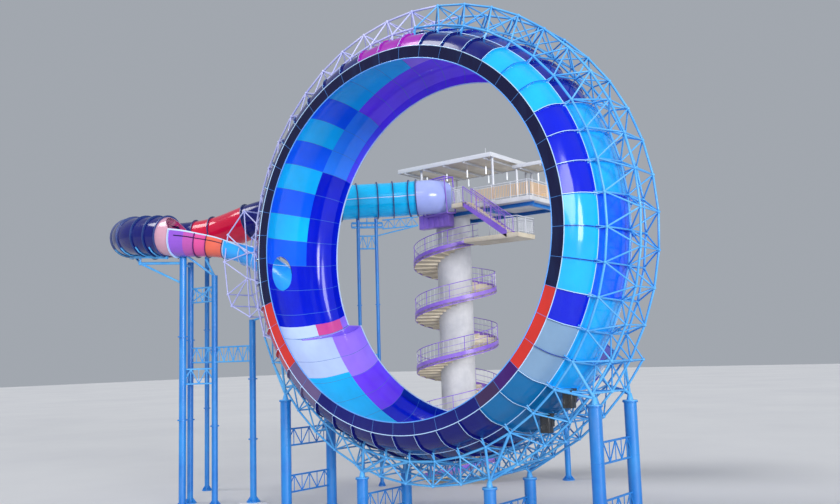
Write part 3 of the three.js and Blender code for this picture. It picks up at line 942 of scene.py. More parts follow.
# The tints of each row, by the angle where each one starts, from -180 to 180 degrees.
PANEL_TINTS: dict[Row, dict[int, Tint]] = {
    Row.BAND: {
        -180: Tint.NAVY, -147: Tint.MAUVE, -131: Tint.RED, -107: Tint.INK,
        109: Tint.RED, 133: Tint.MAROON, 141: Tint.DUSK, 149: Tint.NAVY,
    },
    Row.WALL: {
        -180: Tint.NAVY, -147: Tint.MAUVE, -131: Tint.RED, -107: Tint.NAVY, -11: Tint.MAGENTA,
        13: Tint.NAVY, 37: Tint.CYAN, 61: Tint.ROYAL, 85: Tint.CYAN, 109: Tint.ROYAL,
        117: Tint.MIST, 133: Tint.TEAL, 149: Tint.NAVY,
    },
    Row.BASE: {
        -180: Tint.NAVY, 13: Tint.DEEP, 61: Tint.CYAN, 85: Tint.MID,
        109: Tint.CYAN, 133: Tint.TEAL, 149: Tint.NAVY,
    },
    Row.BACK: {-180: Tint.ROYAL, 37: Tint.CYAN, 61: Tint.ROYAL, 85: Tint.CYAN, 109: Tint.ROYAL},
    Row.INSIDE_FRONT: {-180: Tint.ROYAL, -59: Tint.MID, -11: Tint.VIOLET, 37: Tint.ROYAL},
    Row.INSIDE_BASE: {
        -180: Tint.ROYAL, -163: Tint.AQUA, -129: Tint.WHITE, -111: Tint.ROYAL, -91: Tint.MID,
        -83: Tint.AQUA, -75: Tint.MID, -67: Tint.AQUA, -59: Tint.MID, -51: Tint.AQUA,
        -43: Tint.MID, -35: Tint.AQUA, -11: Tint.LILAC, 13: Tint.VIOLET, 37: Tint.ROYAL,
    },
    Row.INSIDE_BACK: {
        -180: Tint.ROYAL, -147: Tint.VIOLET, -131: Tint.LILAC, -115: Tint.ROSE,
        -110: Tint.ROYAL, -59: Tint.SKY, -35: Tint.VIOLET, 37: Tint.ROYAL,
    },
    Row.INSIDE_RIM: {
        -180: Tint.DEEP, -147: Tint.VIOLET, -131: Tint.LILAC, -110: Tint.ROYAL,
        -59: Tint.IRIS, -35: Tint.VIOLET, 37: Tint.DEEP,
    },
}


def panel_tint(row: Row, angle: float) -> Tint:
    """Gives the moulded colour of the panel of a row that holds an angle."""
    turn = (angle + 180.0) % 360.0 - 180.0
    return [tint for start, tint in PANEL_TINTS[row].items() if turn >= start][-1]


@dataclass
class RingChannel:
    """The moulded channel of the ring: nine lengths of five panels with bolted flanges."""

    palette: Palette
    seam: float = 0.12
    seam_pitch: float = 1.0
    flange_reach: float = 0.1
    flange_root: float = 0.01
    flange_half: float = 0.08
    flange_bolt: float = 0.05
    rim_bead: float = 0.026
    rear_bead: float = 0.045
    seam_bead: float = 0.02
    mouth_index: int = 6
    crease: float = 28.0

    def build(self) -> None:
        """Builds every length."""
        for index in range(SEGMENTS):
            self.length(index)

    def length(self, index: int) -> None:
        """Builds one length of the channel.

        Args:
            index: Number of the length from 0.
        """
        section = WIDE if index in WIDE_SEGMENTS else NARROW
        outer = section.fine()
        start = FIRST_EDGE + SEGMENT * index
        end = start + SEGMENT
        shell = Workpiece()
        rows = [*outer, *reversed(section.offset(outer, section.wall))]
        line = shell.outline([at_row(row, start) for row in rows])
        for bay in range(BAYS):
            low = start + BAY * bay
            line = shell.spin_ring(line, low, low + self.seam, self.seam_pitch)
            line = shell.spin_ring(line, low + self.seam, low + BAY)
        shell.close_ends()
        if index == self.mouth_index:
            shell.cut(mouth_bore())
        self.tint_shell(shell, section)
        piece = Workpiece(self.palette.shell, self.palette.truss)
        piece.absorb(shell)
        if index == WIDE_SEGMENTS[0]:
            self.web(piece, start, start + self.flange_half * 4)
        if index == WIDE_SEGMENTS[-1]:
            self.web(piece, end - self.flange_half * 4, end)
        for bay in range(BAYS):
            self.flange(piece, section, start + BAY * bay)
        piece.loop_rod(outer[0], self.rim_bead, start, end, Tint.HALO)
        piece.loop_rod(outer[-1], self.rear_bead, start, end, Tint.WHITE)
        for row in (*section.folds, section.points[-2]):
            piece.loop_rod(row, self.seam_bead, start, end, Tint.RIM)
        piece.finish(f"ring_channel_{index + 1}", "channel_shell", f"channel_{index + 1}", self.crease)

    def tint_shell(self, shell: Workpiece, section: RingSection) -> None:
        """Colours the shell panel by panel.

        Args:
            shell: The bare shell.
            section: Its cross section.
        """
        crease, edge, back = section.folds
        for face in shell.bm.faces:
            out = face.calc_center_median() - RING_CENTRE
            radius = math.hypot(out.x, out.z) / RING_RADIUS
            depth = out.y / RING_RADIUS
            angle = math.degrees(math.atan2(out.x, out.z))
            away = Vector((out.x, 0.0, out.z)).normalized()
            in_front = depth < -0.05 and radius < crease[0]
            inside = face.normal.dot(away) < -0.05 or (in_front and face.normal.y > 0.3)
            if abs(depth) > 0.1:
                inside = face.normal.y * depth < 0.0
            if depth < crease[1] + 0.006 and radius < crease[0]:
                row = Row.INSIDE_FRONT if inside else Row.BAND
            elif depth < edge[1]:
                row = Row.INSIDE_FRONT if inside else Row.WALL
            elif depth < back[1]:
                row = Row.INSIDE_BASE if inside else Row.BASE
            elif radius > crease[0]:
                row = Row.INSIDE_BACK if inside else Row.BACK
            else:
                row = Row.INSIDE_RIM if inside else Row.BACK
            offset = (angle - FIRST_EDGE) % BAY
            joint = offset < self.seam or offset > BAY - 0.001
            shell.paint([face], 0, Tint.JOINT if joint else panel_tint(row, angle))

    def flange(self, piece: Workpiece, section: RingSection, angle: float) -> None:
        """Adds the pair of bolted flanges round the outside at a joint.

        Args:
            piece: The length of channel.
            section: Its cross section.
            angle: Angle of the joint.
        """
        plain = section.fine()[1:]
        foot, top = section.offset(plain, self.flange_root), section.offset(plain, -self.flange_reach)
        rib = self.plate(foot, top, angle - self.flange_half, angle + self.flange_half)
        turn = (at_ring(1.0, angle + 90.0, 0.0) - RING_CENTRE).normalized()
        crease, edge, back = section.folds
        # Between light cyan or mist panels the flange's outer edge is painted dark, as painted shade of the
        # flange; elsewhere it takes the pale trimmed edge.
        beside = {panel_tint(Row.WALL, angle - 1.0), panel_tint(Row.WALL, angle + 1.0)}
        trim = Tint.DEEP if beside in ({Tint.CYAN}, {Tint.MIST}) else Tint.RIM
        for face in rib.bm.faces:
            facing = face.normal.dot(turn)
            depth = (face.calc_center_median().y - RING_CENTRE.y) / RING_RADIUS
            row = Row.WALL if depth < edge[1] else Row.BASE if depth < back[1] else Row.BACK
            if depth < crease[1]:
                row = Row.BAND
            side = angle + math.copysign(BAY / 2, facing)
            rib.paint([face], 0, panel_tint(row, side) if abs(facing) > 0.7 else trim, False)
        piece.absorb(rib)
        for row in section.offset(plain, -self.flange_reach * 0.6)[1:-1:2]:
            piece.bolt(at_row(row, angle + self.flange_half), turn, self.flange_bolt, 1)

    @staticmethod
    def plate(inner: Sequence[Point], outer: Sequence[Point], start: float, end: float) -> Workpiece:
        """Makes a curved plate across the ring between two lines.

        Args:
            inner: Rows of one line.
            outer: Rows of the other line, which has as many.
            start: Angle of its first face.
            end: Angle of its last face.

        Returns:
            The plate.
        """
        plate = Workpiece()
        edges = []
        for line in (inner, outer):
            edges += plate.outline([at_row(row, start) for row in line], False)[1]
        faces = bmesh.ops.bridge_loops(plate.bm, edges=edges)["faces"]
        made = bmesh.ops.extrude_face_region(plate.bm, geom=faces)["geom"]
        turn = Matrix.Rotation(math.radians(end - start), 3, "Y")
        bmesh.ops.rotate(plate.bm, cent=RING_CENTRE, matrix=turn, verts=picked(made, Vert))
        plate.face_out()
        return plate

    def web(self, piece: Workpiece, start: float, end: float) -> None:
        """Closes the step between the narrow and the wide back wall.

        Args:
            piece: The length of channel.
            start: Angle of its first face.
            end: Angle of its last face.
        """
        half = len(NARROW.fine()) // 2 + 2
        web = self.plate(NARROW.fine()[half:], WIDE.fine()[half:], start, end)
        piece.absorb(web, 0, panel_tint(Row.INSIDE_BACK, start - BAY), False)


OUTER_ROWS: tuple[Point, ...] = ((1.0, -0.08), (1.0, 0.08))
INNER_ROWS: tuple[Point, ...] = ((0.898, -0.138), (0.924, 0.0), (0.924, 0.138))
WIDE_OUTER: tuple[Point, ...] = (*OUTER_ROWS, (1.0, 0.195))
WIDE_INNER: tuple[Point, ...] = (*INNER_ROWS, (0.9, 0.29))
RING_COLUMNS: dict[str, Point] = {
    "right": (9.4, -8.05),
    "mid_right": (3.9, -11.85),
    "mid_left": (-3.9, -11.85),
    "left": (-9.5, -7.95),
}
COLUMN_ROWS = (-0.96, 2.64)
COLUMN_RADIUS = 0.29
COLUMN_HEAD = ((0.34, 0.001), (0.34, 0.04), (0.16, 0.05), (0.09, 0.34), (0.07, 0.36))

# The nodes of the landing frame, across and up from the ring axis in ring radii.
LANDING_NODES: dict[str, Point] = {
    "a": (-1.074, 0.267),
    "b": (-1.197, 0.16),
    "c": (-1.054, 0.052),
    "d": (-1.225, 0.025),
    "e": (-1.052, -0.072),
    "f": (-1.198, -0.141),
    "g": (-1.168, -0.201),
    "h": (-1.035, -0.262),
}
LANDING_BARS = ("ab", "ac", "bc", "bd", "cd", "ce", "de", "df", "ef", "fg", "eg", "gh", "eh")
LANDING_TIES = {"a": 281.0, "c": 273.0, "e": 265.0, "h": 257.0}
LANDING_DEPTH = 0.08

# The blocks of a floodlight about its middle: lowest corner, highest corner, eased edge.
LIGHT_BLOCKS: tuple[tuple[Place, Place, float], ...] = (
    ((-0.235, -0.2, -0.385), (0.235, 0.2, 0.385), 0.04),
    ((-0.264, 0.0, -0.12), (-0.236, 0.25, 0.45), 0.006),
    ((0.236, 0.0, -0.12), (0.264, 0.25, 0.45), 0.006),
    ((-0.264, 0.18, 0.37), (0.264, 0.25, 0.45), 0.006),
)
LIGHT_GLASS = ((0.17, 0.0), (0.17, 0.03), (0.15, 0.04), (0.13, 0.012))
LIGHT_FINS = 7
LIGHT_FIN: Place = (0.4, 0.02, 0.012)


def at_landing(key: str, depth: float) -> Vector:
    """Gives a node of the landing frame at a depth in ring radii."""
    x, z = LANDING_NODES[key]
    return RING_CENTRE + Vector((x, depth, z)) * RING_RADIUS


@dataclass
class RingTruss:
    """The double-layer space truss round the channel, with its landing frame and column heads."""

    palette: Palette
    chord: float = 0.056
    brace: float = 0.04
    tie: float = 0.03
    fan: float = 0.066
    fan_bars: int = 4
    node: float = 0.085
    bracket_half: float = 0.35
    bracket_out: float = 0.012
    bracket_bolt: float = 0.1
    lilac_light_from: int = 6
    mouth_angle: float = 266.0
    light_angles: Point = (133.0, 141.0)
    light_row: Point = (0.95, -0.1)
    crease: float = 50.0

    def build(self) -> None:
        """Builds every segment."""
        for index in range(SEGMENTS):
            self.segment(index)

    def segment(self, index: int) -> None:
        """Builds one segment of the truss.

        Args:
            index: Number of the segment from 0.
        """
        # The left segments take the lilac copy of the truss paint, which is painted light.
        paint = self.palette.pale if index >= self.lilac_light_from else self.palette.truss
        piece = Workpiece(paint, self.palette.dark)
        wide = index in WIDE_SEGMENTS
        outer, inner = (WIDE_OUTER, WIDE_INNER) if wide else (OUTER_ROWS, INNER_ROWS)
        start = FIRST_EDGE + SEGMENT * index
        end = start + SEGMENT
        for bay in range(BAYS):
            angle = start + BAY * bay
            part = Workpiece()
            self.bay(part, outer, inner, angle)
            if abs(angle + BAY / 2 - self.mouth_angle) < 2.0 * BAY:
                part.cut(entry_room(), True)
            piece.absorb(part)
        self.heads(piece, outer, inner, start)
        if index == WIDE_SEGMENTS[0] - 1:
            self.wide_end(piece, end - BAY / 2, end + BAY / 2)
        if index == WIDE_SEGMENTS[0]:
            for angle in self.light_angles:
                self.floodlight(piece, angle)
        if index == WIDE_SEGMENTS[-1] + 1:
            self.wide_end(piece, start + BAY / 2, None)
            self.landing(piece)
        piece.finish(f"ring_truss_{index + 1}", "truss_paint", f"truss_{index + 1}", self.crease)

    def bay(self, piece: Workpiece, outer: Sequence[Point], inner: Sequence[Point], angle: float) -> None:
        """Builds one bay: chords, cross members, diagonals, node balls, ties and flange brackets.

        Args:
            piece: The truss segment.
            outer: Rows of outer nodes.
            inner: Rows of inner nodes.
            angle: Angle of the first inner nodes.
        """
        middle = angle + BAY / 2
        tops, nexts = ([at_row(row, turn) for row in outer] for turn in (middle, middle + BAY))
        lows, ends = ([at_row(row, turn) for row in inner] for turn in (angle, angle + BAY))
        for p, q in [*zip(tops, nexts), *zip(lows, ends)]:
            piece.strut(p, q, self.chord)
        for p, q in [*zip(tops, tops[1:]), *zip(lows, lows[1:])]:
            piece.strut(p, q, self.brace)
        for j, top in enumerate(tops):
            for node in (lows[j], lows[j + 1], ends[j], ends[j + 1]):
                piece.strut(top, node, self.brace)
        for node in [*tops, *lows]:
            piece.ball(node, self.node)
        for node, (_, d) in zip(lows, inner):
            piece.rod(node, at_ring(self.shell_radius(d, inner), angle, d), self.tie)
        for node, (_, d) in ((lows[0], inner[0]), (lows[-1], inner[-1])):
            depth = d + math.copysign(self.bracket_out, d)
            for side in (-self.bracket_half, self.bracket_half):
                hold = at_ring(self.shell_radius(depth, inner), angle + side, depth)
                piece.rod(node, hold, self.tie * 0.9)
                piece.bolt(hold, node - hold, self.bracket_bolt)

    def wide_end(self, piece: Workpiece, angle: float, onward: float | None) -> None:
        """Adds the last node of the outer back chord, past an end of the wide part.

        Args:
            piece: The truss segment.
            angle: Angle of the node.
            onward: Angle of the next node, where this segment has the chord between them.
        """
        node = at_row(WIDE_OUTER[-1], angle)
        piece.strut(node, at_row(OUTER_ROWS[-1], angle), self.brace)
        for turn in (angle - BAY / 2, angle + BAY / 2):
            piece.strut(node, at_row(INNER_ROWS[-1], turn), self.brace)
        if onward is not None:
            piece.strut(node, at_row(WIDE_OUTER[-1], onward), self.chord)
        piece.ball(node, self.node)

    def floodlight(self, piece: Workpiece, angle: float) -> None:
        """Adds a dark floodlight housing in a bay beside the right columns.

        Args:
            piece: The truss segment.
            angle: Angle of the housing.
        """
        middle = at_row(self.light_row, angle)
        for low, high, edge in LIGHT_BLOCKS:
            piece.block(middle + Vector(low), middle + Vector(high), 1, edge)
        piece.turned(middle + Vector((0.0, -0.2, -0.12)), LIGHT_GLASS, 1, 24, FRONT)
        for k in range(LIGHT_FINS):
            fin = middle + Vector((-0.2, -0.215, 0.1 + k * 0.035))
            piece.block(fin, fin + Vector(LIGHT_FIN), 1, 0.003)
        hook = middle + Vector((0.0, 0.2, 0.41))
        for node in (at_row(OUTER_ROWS[0], angle - BAY / 2), at_row(INNER_ROWS[0], angle)):
            piece.rod(hook, node, self.tie)

    @staticmethod
    def shell_radius(depth: float, inner: Sequence[Point]) -> float:
        """Finds the radius of the channel's outside at a depth.

        Args:
            depth: Distance along the ring axis, in ring radii.
            inner: Rows of inner nodes, which tell the wide part from the narrow one.

        Returns:
            The radius in ring radii.
        """
        points = (WIDE if len(inner) == len(WIDE_INNER) else NARROW).points
        for (r0, d0), (r1, d1) in zip(points[1:], points[2:]):
            if d0 <= depth <= d1:
                return r0 + (r1 - r0) * (depth - d0) / (d1 - d0)
        raise ValueError(f"no shell at depth {depth}")

    def heads(self, piece: Workpiece, outer: Sequence[Point], inner: Sequence[Point], start: float) -> None:
        """Adds the plates and fans of struts over the columns in this segment.

        Args:
            piece: The truss segment.
            outer: Rows of outer nodes.
            inner: Rows of inner nodes.
            start: First angle of the segment.
        """
        for x, z in RING_COLUMNS.values():
            angle = math.degrees(math.atan2(x, z)) % 360.0
            if not start <= angle < start + SEGMENT:
                continue
            for y, top, low in zip(COLUMN_ROWS, (outer[0], outer[-1]), (inner[0], inner[-1])):
                head = at_axis(x, y, z)
                nodes = [at_row(top, start + BAY * (i + 0.5)) for i in range(BAYS)]
                nodes += [at_row(low, start + BAY * i) for i in range(BAYS)]
                above = sorted((n for n in nodes if n.z > head.z + 0.2), key=lambda n: (n - head).length)
                piece.turned(head, COLUMN_HEAD)
                for node in above[: self.fan_bars]:
                    piece.strut(head + UP * 0.3, node, self.fan, 0, 10)

    def landing(self, piece: Workpiece) -> None:
        """Adds the landing frame at the left limb.

        Args:
            piece: The truss segment that carries it.
        """
        for depth in (-LANDING_DEPTH, LANDING_DEPTH):
            for key in LANDING_NODES:
                piece.ball(at_landing(key, depth), self.node)
            for p, q in LANDING_BARS:
                piece.strut(at_landing(p, depth), at_landing(q, depth), self.brace)
            for key, angle in LANDING_TIES.items():
                piece.strut(at_landing(key, depth), at_ring(1.0, angle, depth), self.brace)
        for key in "afgh":
            piece.strut(at_landing(key, -LANDING_DEPTH), at_landing(key, LANDING_DEPTH), self.brace)


FOOT_SPREAD = 2.1
FOOT_GUSSETS = 8
GUSSET = 0.024


def column_foot(piece: Workpiece, foot: Vector, radius: float) -> None:
    """Adds a base plate with gussets and bolts.

    Args:
        piece: The workpiece.
        foot: Middle of the foot.
        radius: Radius of the column.
    """
    reach = radius * FOOT_SPREAD
    piece.turned(foot, [(reach, 0.0), (reach, 0.05), (reach * 0.98, 0.06)], 0, 32)
    piece.turned(foot, [(radius * 1.12, 0.05), (radius * 1.12, 0.12), (radius, 0.14)])
    gusset = ((radius * 0.95, 0.05), (reach * 0.9, 0.05), (reach * 0.9, 0.1), (radius * 0.95, 0.34))
    for i in range(FOOT_GUSSETS):
        turn = Matrix.Translation(foot) @ Matrix.Rotation(math.tau * i / FOOT_GUSSETS, 4, "Z")
        half_turn = Matrix.Rotation(math.pi / FOOT_GUSSETS, 4, "Z")
        corners = [turn @ Vector((x, -GUSSET / 2, z)) for x, z in gusset]
        piece.slab(corners, turn.to_3x3() @ Vector((0.0, GUSSET, 0.0)))
        piece.bolt(turn @ half_turn @ Vector((reach * 0.82, 0.0, 0.06)), UP, 0.09)


GIRDER_DEPTH = 0.9


def lattice(
    piece: Workpiece, start: Vector, end: Vector, depth: float, bays: int, radius: float = 0.05, slot: int = 0
) -> None:
    """Adds a flat lattice girder with verticals and diagonals.

    Args:
        piece: The workpiece.
        start: Start of the lower chord.
        end: End of the lower chord.
        depth: Height of the girder.
        bays: Number of bays.
        radius: Radius of its chords.
        slot: Number of the paint.
    """
    rise = UP * depth
    for lift in (Vector(), rise):
        piece.rod(start + lift, end + lift, radius, slot, 10)
    for i in range(bays):
        p, q = start.lerp(end, i / bays), start.lerp(end, (i + 1) / bays)
        middle = p.lerp(q, 0.5)
        piece.rod(p, middle + rise, radius * 0.62, slot, 8)
        piece.rod(middle + rise, q, radius * 0.62, slot, 8)
        for foot in (middle, p) if i > 0 else (middle,):
            piece.rod(foot, foot + rise, radius * 0.5, slot, 8)


@dataclass
class RingColumns:
    """The pairs of columns under the ring, braced front to back."""

    palette: Palette
    girder_drop: float = 2.5
    girder_low: float = 1.4
    short_top: float = 4.0
    short_girder: float = 0.8
    head_bolts: int = 12

    def build(self) -> None:
        """Builds every pair."""
        for side, (x, z) in RING_COLUMNS.items():
            self.pair(side, x, RING_HEIGHT + z)

    def pair(self, side: str, x: float, top: float) -> None:
        """Builds one front and back pair.

        Args:
            side: Name of the pair.
            x: Place along the face of the ring.
            top: Height of the heads.
        """
        piece = Workpiece(self.palette.column)
        feet = [at_site(x, y, 0.0) for y in COLUMN_ROWS]
        r, weld, seam = COLUMN_RADIUS, COLUMN_RADIUS + 0.006, top * 0.62
        levels = [(r, 0.1), (r, seam - 0.02), (weld, seam - 0.012), (weld, seam + 0.012), (r, seam + 0.02)]
        levels += [(r, top - 0.09), (r * 1.08, top - 0.08), (r * 1.08, top - 0.045)]
        levels += [(r * 1.22, top - 0.04), (r * 1.22, top)]
        turns = [math.tau * (i + 0.5) / self.head_bolts for i in range(self.head_bolts)]
        for foot in feet:
            piece.turned(foot, levels, 0, 40)
            column_foot(piece, foot, r)
            for off_x, off_y in round_line(0.0, 0.0, r * 1.14, turns):
                piece.bolt(foot + Vector((off_x, off_y, top - 0.042)), -UP, 0.05)
        tall = top > self.short_top
        for low in (self.girder_low, top - self.girder_drop) if tall else (self.short_girder,):
            lattice(piece, feet[0] + UP * low, feet[1] + UP * low, GIRDER_DEPTH, 3)
        piece.finish(f"columns_{side}_dressed", "column_paint", f"columns_{side}")


# The points of the flume's centre line, as X and Y on the site and height over the ring axis.
FLUME_PATH: tuple[Place, ...] = (
    (-9.55, 14.8, 5.6),
    (-9.75, 13.4, 5.48),
    (-11.6, 12.0, 5.38),
    (-14.1, 9.6, 5.2),
    (-16.2, 7.2, 4.75),
    (-18.6, 5.1, 4.0),
    (-21.7, 4.2, 3.25),
    (-23.8, 3.1, 3.0),
    (-24.75, 1.0, 2.85),
    (-23.8, -1.3, 2.7),
    (-21.7, -2.25, 2.5),
    (-19.6, -2.2, 2.3),
    (-18.0, -1.85, 2.1),
    (-16.5, -1.1, 1.8),
    (-15.0, -0.3, 1.4),
    (-13.6, 0.0, 0.9),
    (-12.3, 0.0, 0.3),
    (-11.1, 0.0, -0.4),
    (-9.6, 0.0, -1.5),
)
FLUME_RADIUS = 1.22
FLUME_WALL = 0.05
FLUME_SIDES = 32


@dataclass
class FlumeLine:
    """The centre line of the flume, as the same smooth curve as the solids. Places count its points."""

    points: list[Vector] = field(default_factory=lambda: [at_axis(*p) for p in FLUME_PATH])
    entry_scale: float = 0.68
    narrow_from: float = 11.8
    narrow_to: float = 14.2

    def at(self, t: float) -> Vector:
        """Gives the point at a place on the line.

        Args:
            t: Place counted in points of the line.

        Returns:
            The point.
        """
        pts = self.points
        i = min(int(t), len(pts) - 2)
        w = t - i
        p0 = pts[i - 1] if i > 0 else pts[0] * 2 - pts[1]
        p1, p2 = pts[i], pts[i + 1]
        p3 = pts[i + 2] if i + 2 < len(pts) else pts[-1] * 2 - pts[-2]
        d0, d1, d2 = (math.sqrt((b - a).length) for a, b in ((p0, p1), (p1, p2), (p2, p3)))
        m1 = ((p1 - p0) / d0 - (p2 - p0) / (d0 + d1) + (p2 - p1) / d1) * d1
        m2 = ((p2 - p1) / d1 - (p3 - p1) / (d1 + d2) + (p3 - p2) / d2) * d1
        return p1 + m1 * w + (3 * (p2 - p1) - 2 * m1 - m2) * w**2 + (2 * (p1 - p2) + m1 + m2) * w**3

    def frame_at(self, t: float) -> Matrix:
        """Gives the frame across the flume, X to the side and Y up, scaled as the flume is.

        Args:
            t: Place counted in points of the line.

        Returns:
            The frame.
        """
        last = len(self.points) - 1
        along = (self.at(min(t + 0.002, last)) - self.at(max(t - 0.002, 0.0))).normalized()
        side = along.cross(UP).normalized()
        rise = side.cross(along)
        share = min(max((t - self.narrow_from) / (self.narrow_to - self.narrow_from), 0.0), 1.0)
        scale = 1.0 - (1.0 - self.entry_scale) * share * share * (3.0 - 2.0 * share)
        turn = Matrix((side * scale, rise * scale, -along * scale)).transposed().to_4x4()
        return Matrix.Translation(self.at(t)) @ turn

    def frames(self, start: float, end: float, pitch: float = 0.14) -> list[Matrix]:
        """Gives frames at an even pitch between two places."""
        steps = max(1, round((end - start) / pitch))
        return [self.frame_at(start + (end - start) * i / steps) for i in range(steps + 1)]


def circle(radius: float) -> list[Point]:
    """Gives the outline of a round flume."""
    return round_line(0.0, 0.0, radius, [math.tau * k / FLUME_SIDES for k in range(FLUME_SIDES)])


def mouth_bore() -> Workpiece:
    """Makes the body of the flume's bore, which opens the channel at the mouth."""
    return Workpiece.swept(circle(FLUME_RADIUS - FLUME_WALL), FlumeLine().frames(16.0, 18.0))


def entry_room() -> Workpiece:
    """Makes the body of the flume's last run, which the bays of the truss keep clear of."""
    return Workpiece.swept(circle(FLUME_RADIUS), FlumeLine().frames(14.0, 18.0))


def channel_plug() -> Workpiece:
    """Makes a body that fills the channel round the mouth and the room inside it.

    Returns:
        The body.
    """
    start, end = 250.0, 285.0
    plug = Workpiece()
    rows = [*NARROW.fine(), (0.5, 0.238), (0.5, -0.241)]
    plug.spin_ring(plug.outline([at_row(row, start) for row in rows]), start, end)
    plug.close_ends()
    return plug


@dataclass
class Flume:
    """The flume from the launch deck round the turn and into the ring."""

    palette: Palette
    line: FlumeLine = field(default_factory=FlumeLine)
    radius: float = FLUME_RADIUS
    wall: float = FLUME_WALL
    lip: float = 0.35
    lip_bead: float = 0.06
    overlap: float = 0.02
    flange_reach: float = 0.11
    flange_width: float = 0.05
    thin_flange: float = 0.03
    broad_flange: float = 0.07
    seam_half: float = 0.03
    hood: float = 0.85
    tub: Point = (0.3, 0.75)
    tub_gap: float = 0.05
    rear_start: float = 0.235
    rear_end: float = 6.0
    turn_end: float = 12.0
    open_end: float = 14.0
    entry_end: float = 18.0
    bead_end: float = 17.1

    def build(self) -> None:
        """Builds the four lengths."""
        self.rear_run()
        self.turn()
        self.open_run()
        self.entry()

    def trough_outline(self, outer: float, inner: float) -> list[Point]:
        """Gives the closed outline of an open trough.

        Args:
            outer: Radius of its outside.
            inner: Radius of its inside.

        Returns:
            The outline.
        """
        half = FLUME_SIDES // 2
        turns = [math.pi + math.pi * k / half for k in range(half + 1)]
        out = [(-outer, self.lip), *round_line(0.0, 0.0, outer, turns), (outer, self.lip)]
        back = [(inner, self.lip), *round_line(0.0, 0.0, inner, reversed(turns)), (-inner, self.lip)]
        return out + back

    def pipe(
        self, piece: Workpiece, start: float, end: float, tint: Tint, inside: Tint, hood: float = 0.0
    ) -> None:
        """Adds a closed pipe with a wall.

        Args:
            piece: The workpiece.
            start: First place on the line.
            end: Last place on the line.
            tint: Colour of its outside.
            inside: Colour of its bore.
            hood: How far the slanted cut of its mouth runs back, in metres. Nought gives a square end.
        """
        part = Workpiece()
        bm = part.bm
        frames = self.line.frames(start, end)
        part.sweep(circle(self.radius), frames)
        part.sweep(circle(self.radius - self.wall), frames)
        loops = [e for e in bm.edges if e.is_boundary]
        reach = self.radius * 1.05
        for centre in (frames[0].translation, frames[-1].translation):
            near = [e for e in loops if all((v.co - centre).length < reach for v in e.verts)]
            bmesh.ops.bridge_loops(bm, edges=near)
        part.face_out()
        if hood > 0.0:
            place = frames[-1] @ Vector((0.0, self.lip, 0.0))
            slope = frames[-1].to_3x3() @ Vector((0.0, hood, self.lip - self.radius))
            geom = [*bm.verts, *bm.edges, *bm.faces]
            made = bmesh.ops.bisect_plane(bm, geom=geom, plane_co=place, plane_no=slope, clear_outer=True)
            rim = picked(made["geom_cut"], Edge)
            bmesh.ops.triangle_fill(bm, edges=rim, use_beauty=True, use_dissolve=False)
            part.face_out()
        for face in bm.faces:
            middle = face.calc_center_median()
            axis = min(frames, key=lambda f: (f.translation - middle).length).translation
            part.paint([face], 0, inside if face.normal.dot(middle - axis) < 0.0 else tint)
        piece.absorb(part)

    def trough(self, piece: Workpiece, start: float, end: float, tint: Tint) -> None:
        """Adds an open trough with a wall and rolled lips. The last one stops at the channel.

        Args:
            piece: The workpiece.
            start: First place on the line.
            end: Last place on the line.
            tint: Its colour.
        """
        frames = self.line.frames(start, end)
        part = Workpiece.swept(self.trough_outline(self.radius, self.radius - self.wall), frames)
        if end == self.entry_end:
            part.cut(channel_plug())
            frames = self.line.frames(start, self.bead_end)
        piece.absorb(part, 0, tint)
        turns = [0.9 * k for k in range(7)]
        for middle in (self.overlap - self.radius, self.radius - self.overlap):
            ring = round_line(middle, self.lip, self.lip_bead, turns)
            piece.absorb(Workpiece.swept(ring, frames), 0, Tint.WHITE)

    def flange(self, piece: Workpiece, t: float, slot: int, tint: Tint | None, width: float) -> None:
        """Adds a flange round the flume, which is open past its turn.

        Args:
            piece: The workpiece.
            t: Place on the line.
            slot: Number of the material.
            tint: Its colour.
            width: Thickness of the pair.
        """
        middle = self.line.frame_at(t)
        half = width / 2
        inner, outer = self.radius - self.overlap, self.radius + self.flange_reach
        if t > self.turn_end:
            frames = [middle @ Matrix.Translation((0.0, 0.0, z)) for z in (-half, half)]
            part = Workpiece.swept(self.trough_outline(outer, inner), frames)
        else:
            part = Workpiece()
            corners = ((inner, -half), (outer, -half), (outer, half), (inner, half))
            line = part.outline([Vector((r, 0.0, z)) for r, z in corners])
            part.spin(line, Vector(), UP, math.tau, FLUME_SIDES)
            part.face_out()
            bmesh.ops.transform(part.bm, matrix=middle, verts=part.bm.verts)
        piece.absorb(part, slot, tint, False)

    def seam(self, piece: Workpiece, start: float, end: float, tint: Tint) -> None:
        """Adds the moulded seams along both sides of the flume.

        Args:
            piece: The workpiece.
            start: First place on the line.
            end: Last place on the line.
            tint: Its colour.
        """
        h = self.seam_half
        for edge in (-self.radius, self.radius):
            strip = [(edge - h, -h), (edge + h, -h), (edge + h, h), (edge - h, h)]
            piece.absorb(Workpiece.swept(strip, self.line.frames(start, end)), 0, tint, False)

    def rear_run(self) -> None:
        """Builds the tube from the deck: pale launch tub, light blue run, navy, and a crimson end that is
        painted red light.
        """
        piece = Workpiece(self.palette.shell, self.palette.flange, self.palette.violet)
        tub_end, blue_end, navy_end = 1.43, 4.0, 5.15
        self.pipe(piece, self.rear_start, tub_end, Tint.ICE, Tint.WHITE)
        self.pipe(piece, tub_end, blue_end, Tint.AQUA, Tint.MID)
        self.pipe(piece, blue_end, navy_end, Tint.NAVY, Tint.DEEP)
        # The crimson length with its magenta bore is painted red light, not the tube's own colour.
        self.pipe(piece, navy_end, self.rear_end, Tint.PAINTED_RED_LIGHT, Tint.MAGENTA)
        self.seam(piece, tub_end, blue_end, Tint.RIM)
        for t in (tub_end, 1.64, 2.09, 2.42, 2.82, 3.19, 3.56, blue_end, 4.58, navy_end):
            self.flange(piece, t, 1, None, self.broad_flange)
        self.tub_frame(piece)
        piece.finish("flume_rear_dressed", "flume_blue", "flume_rear_run")

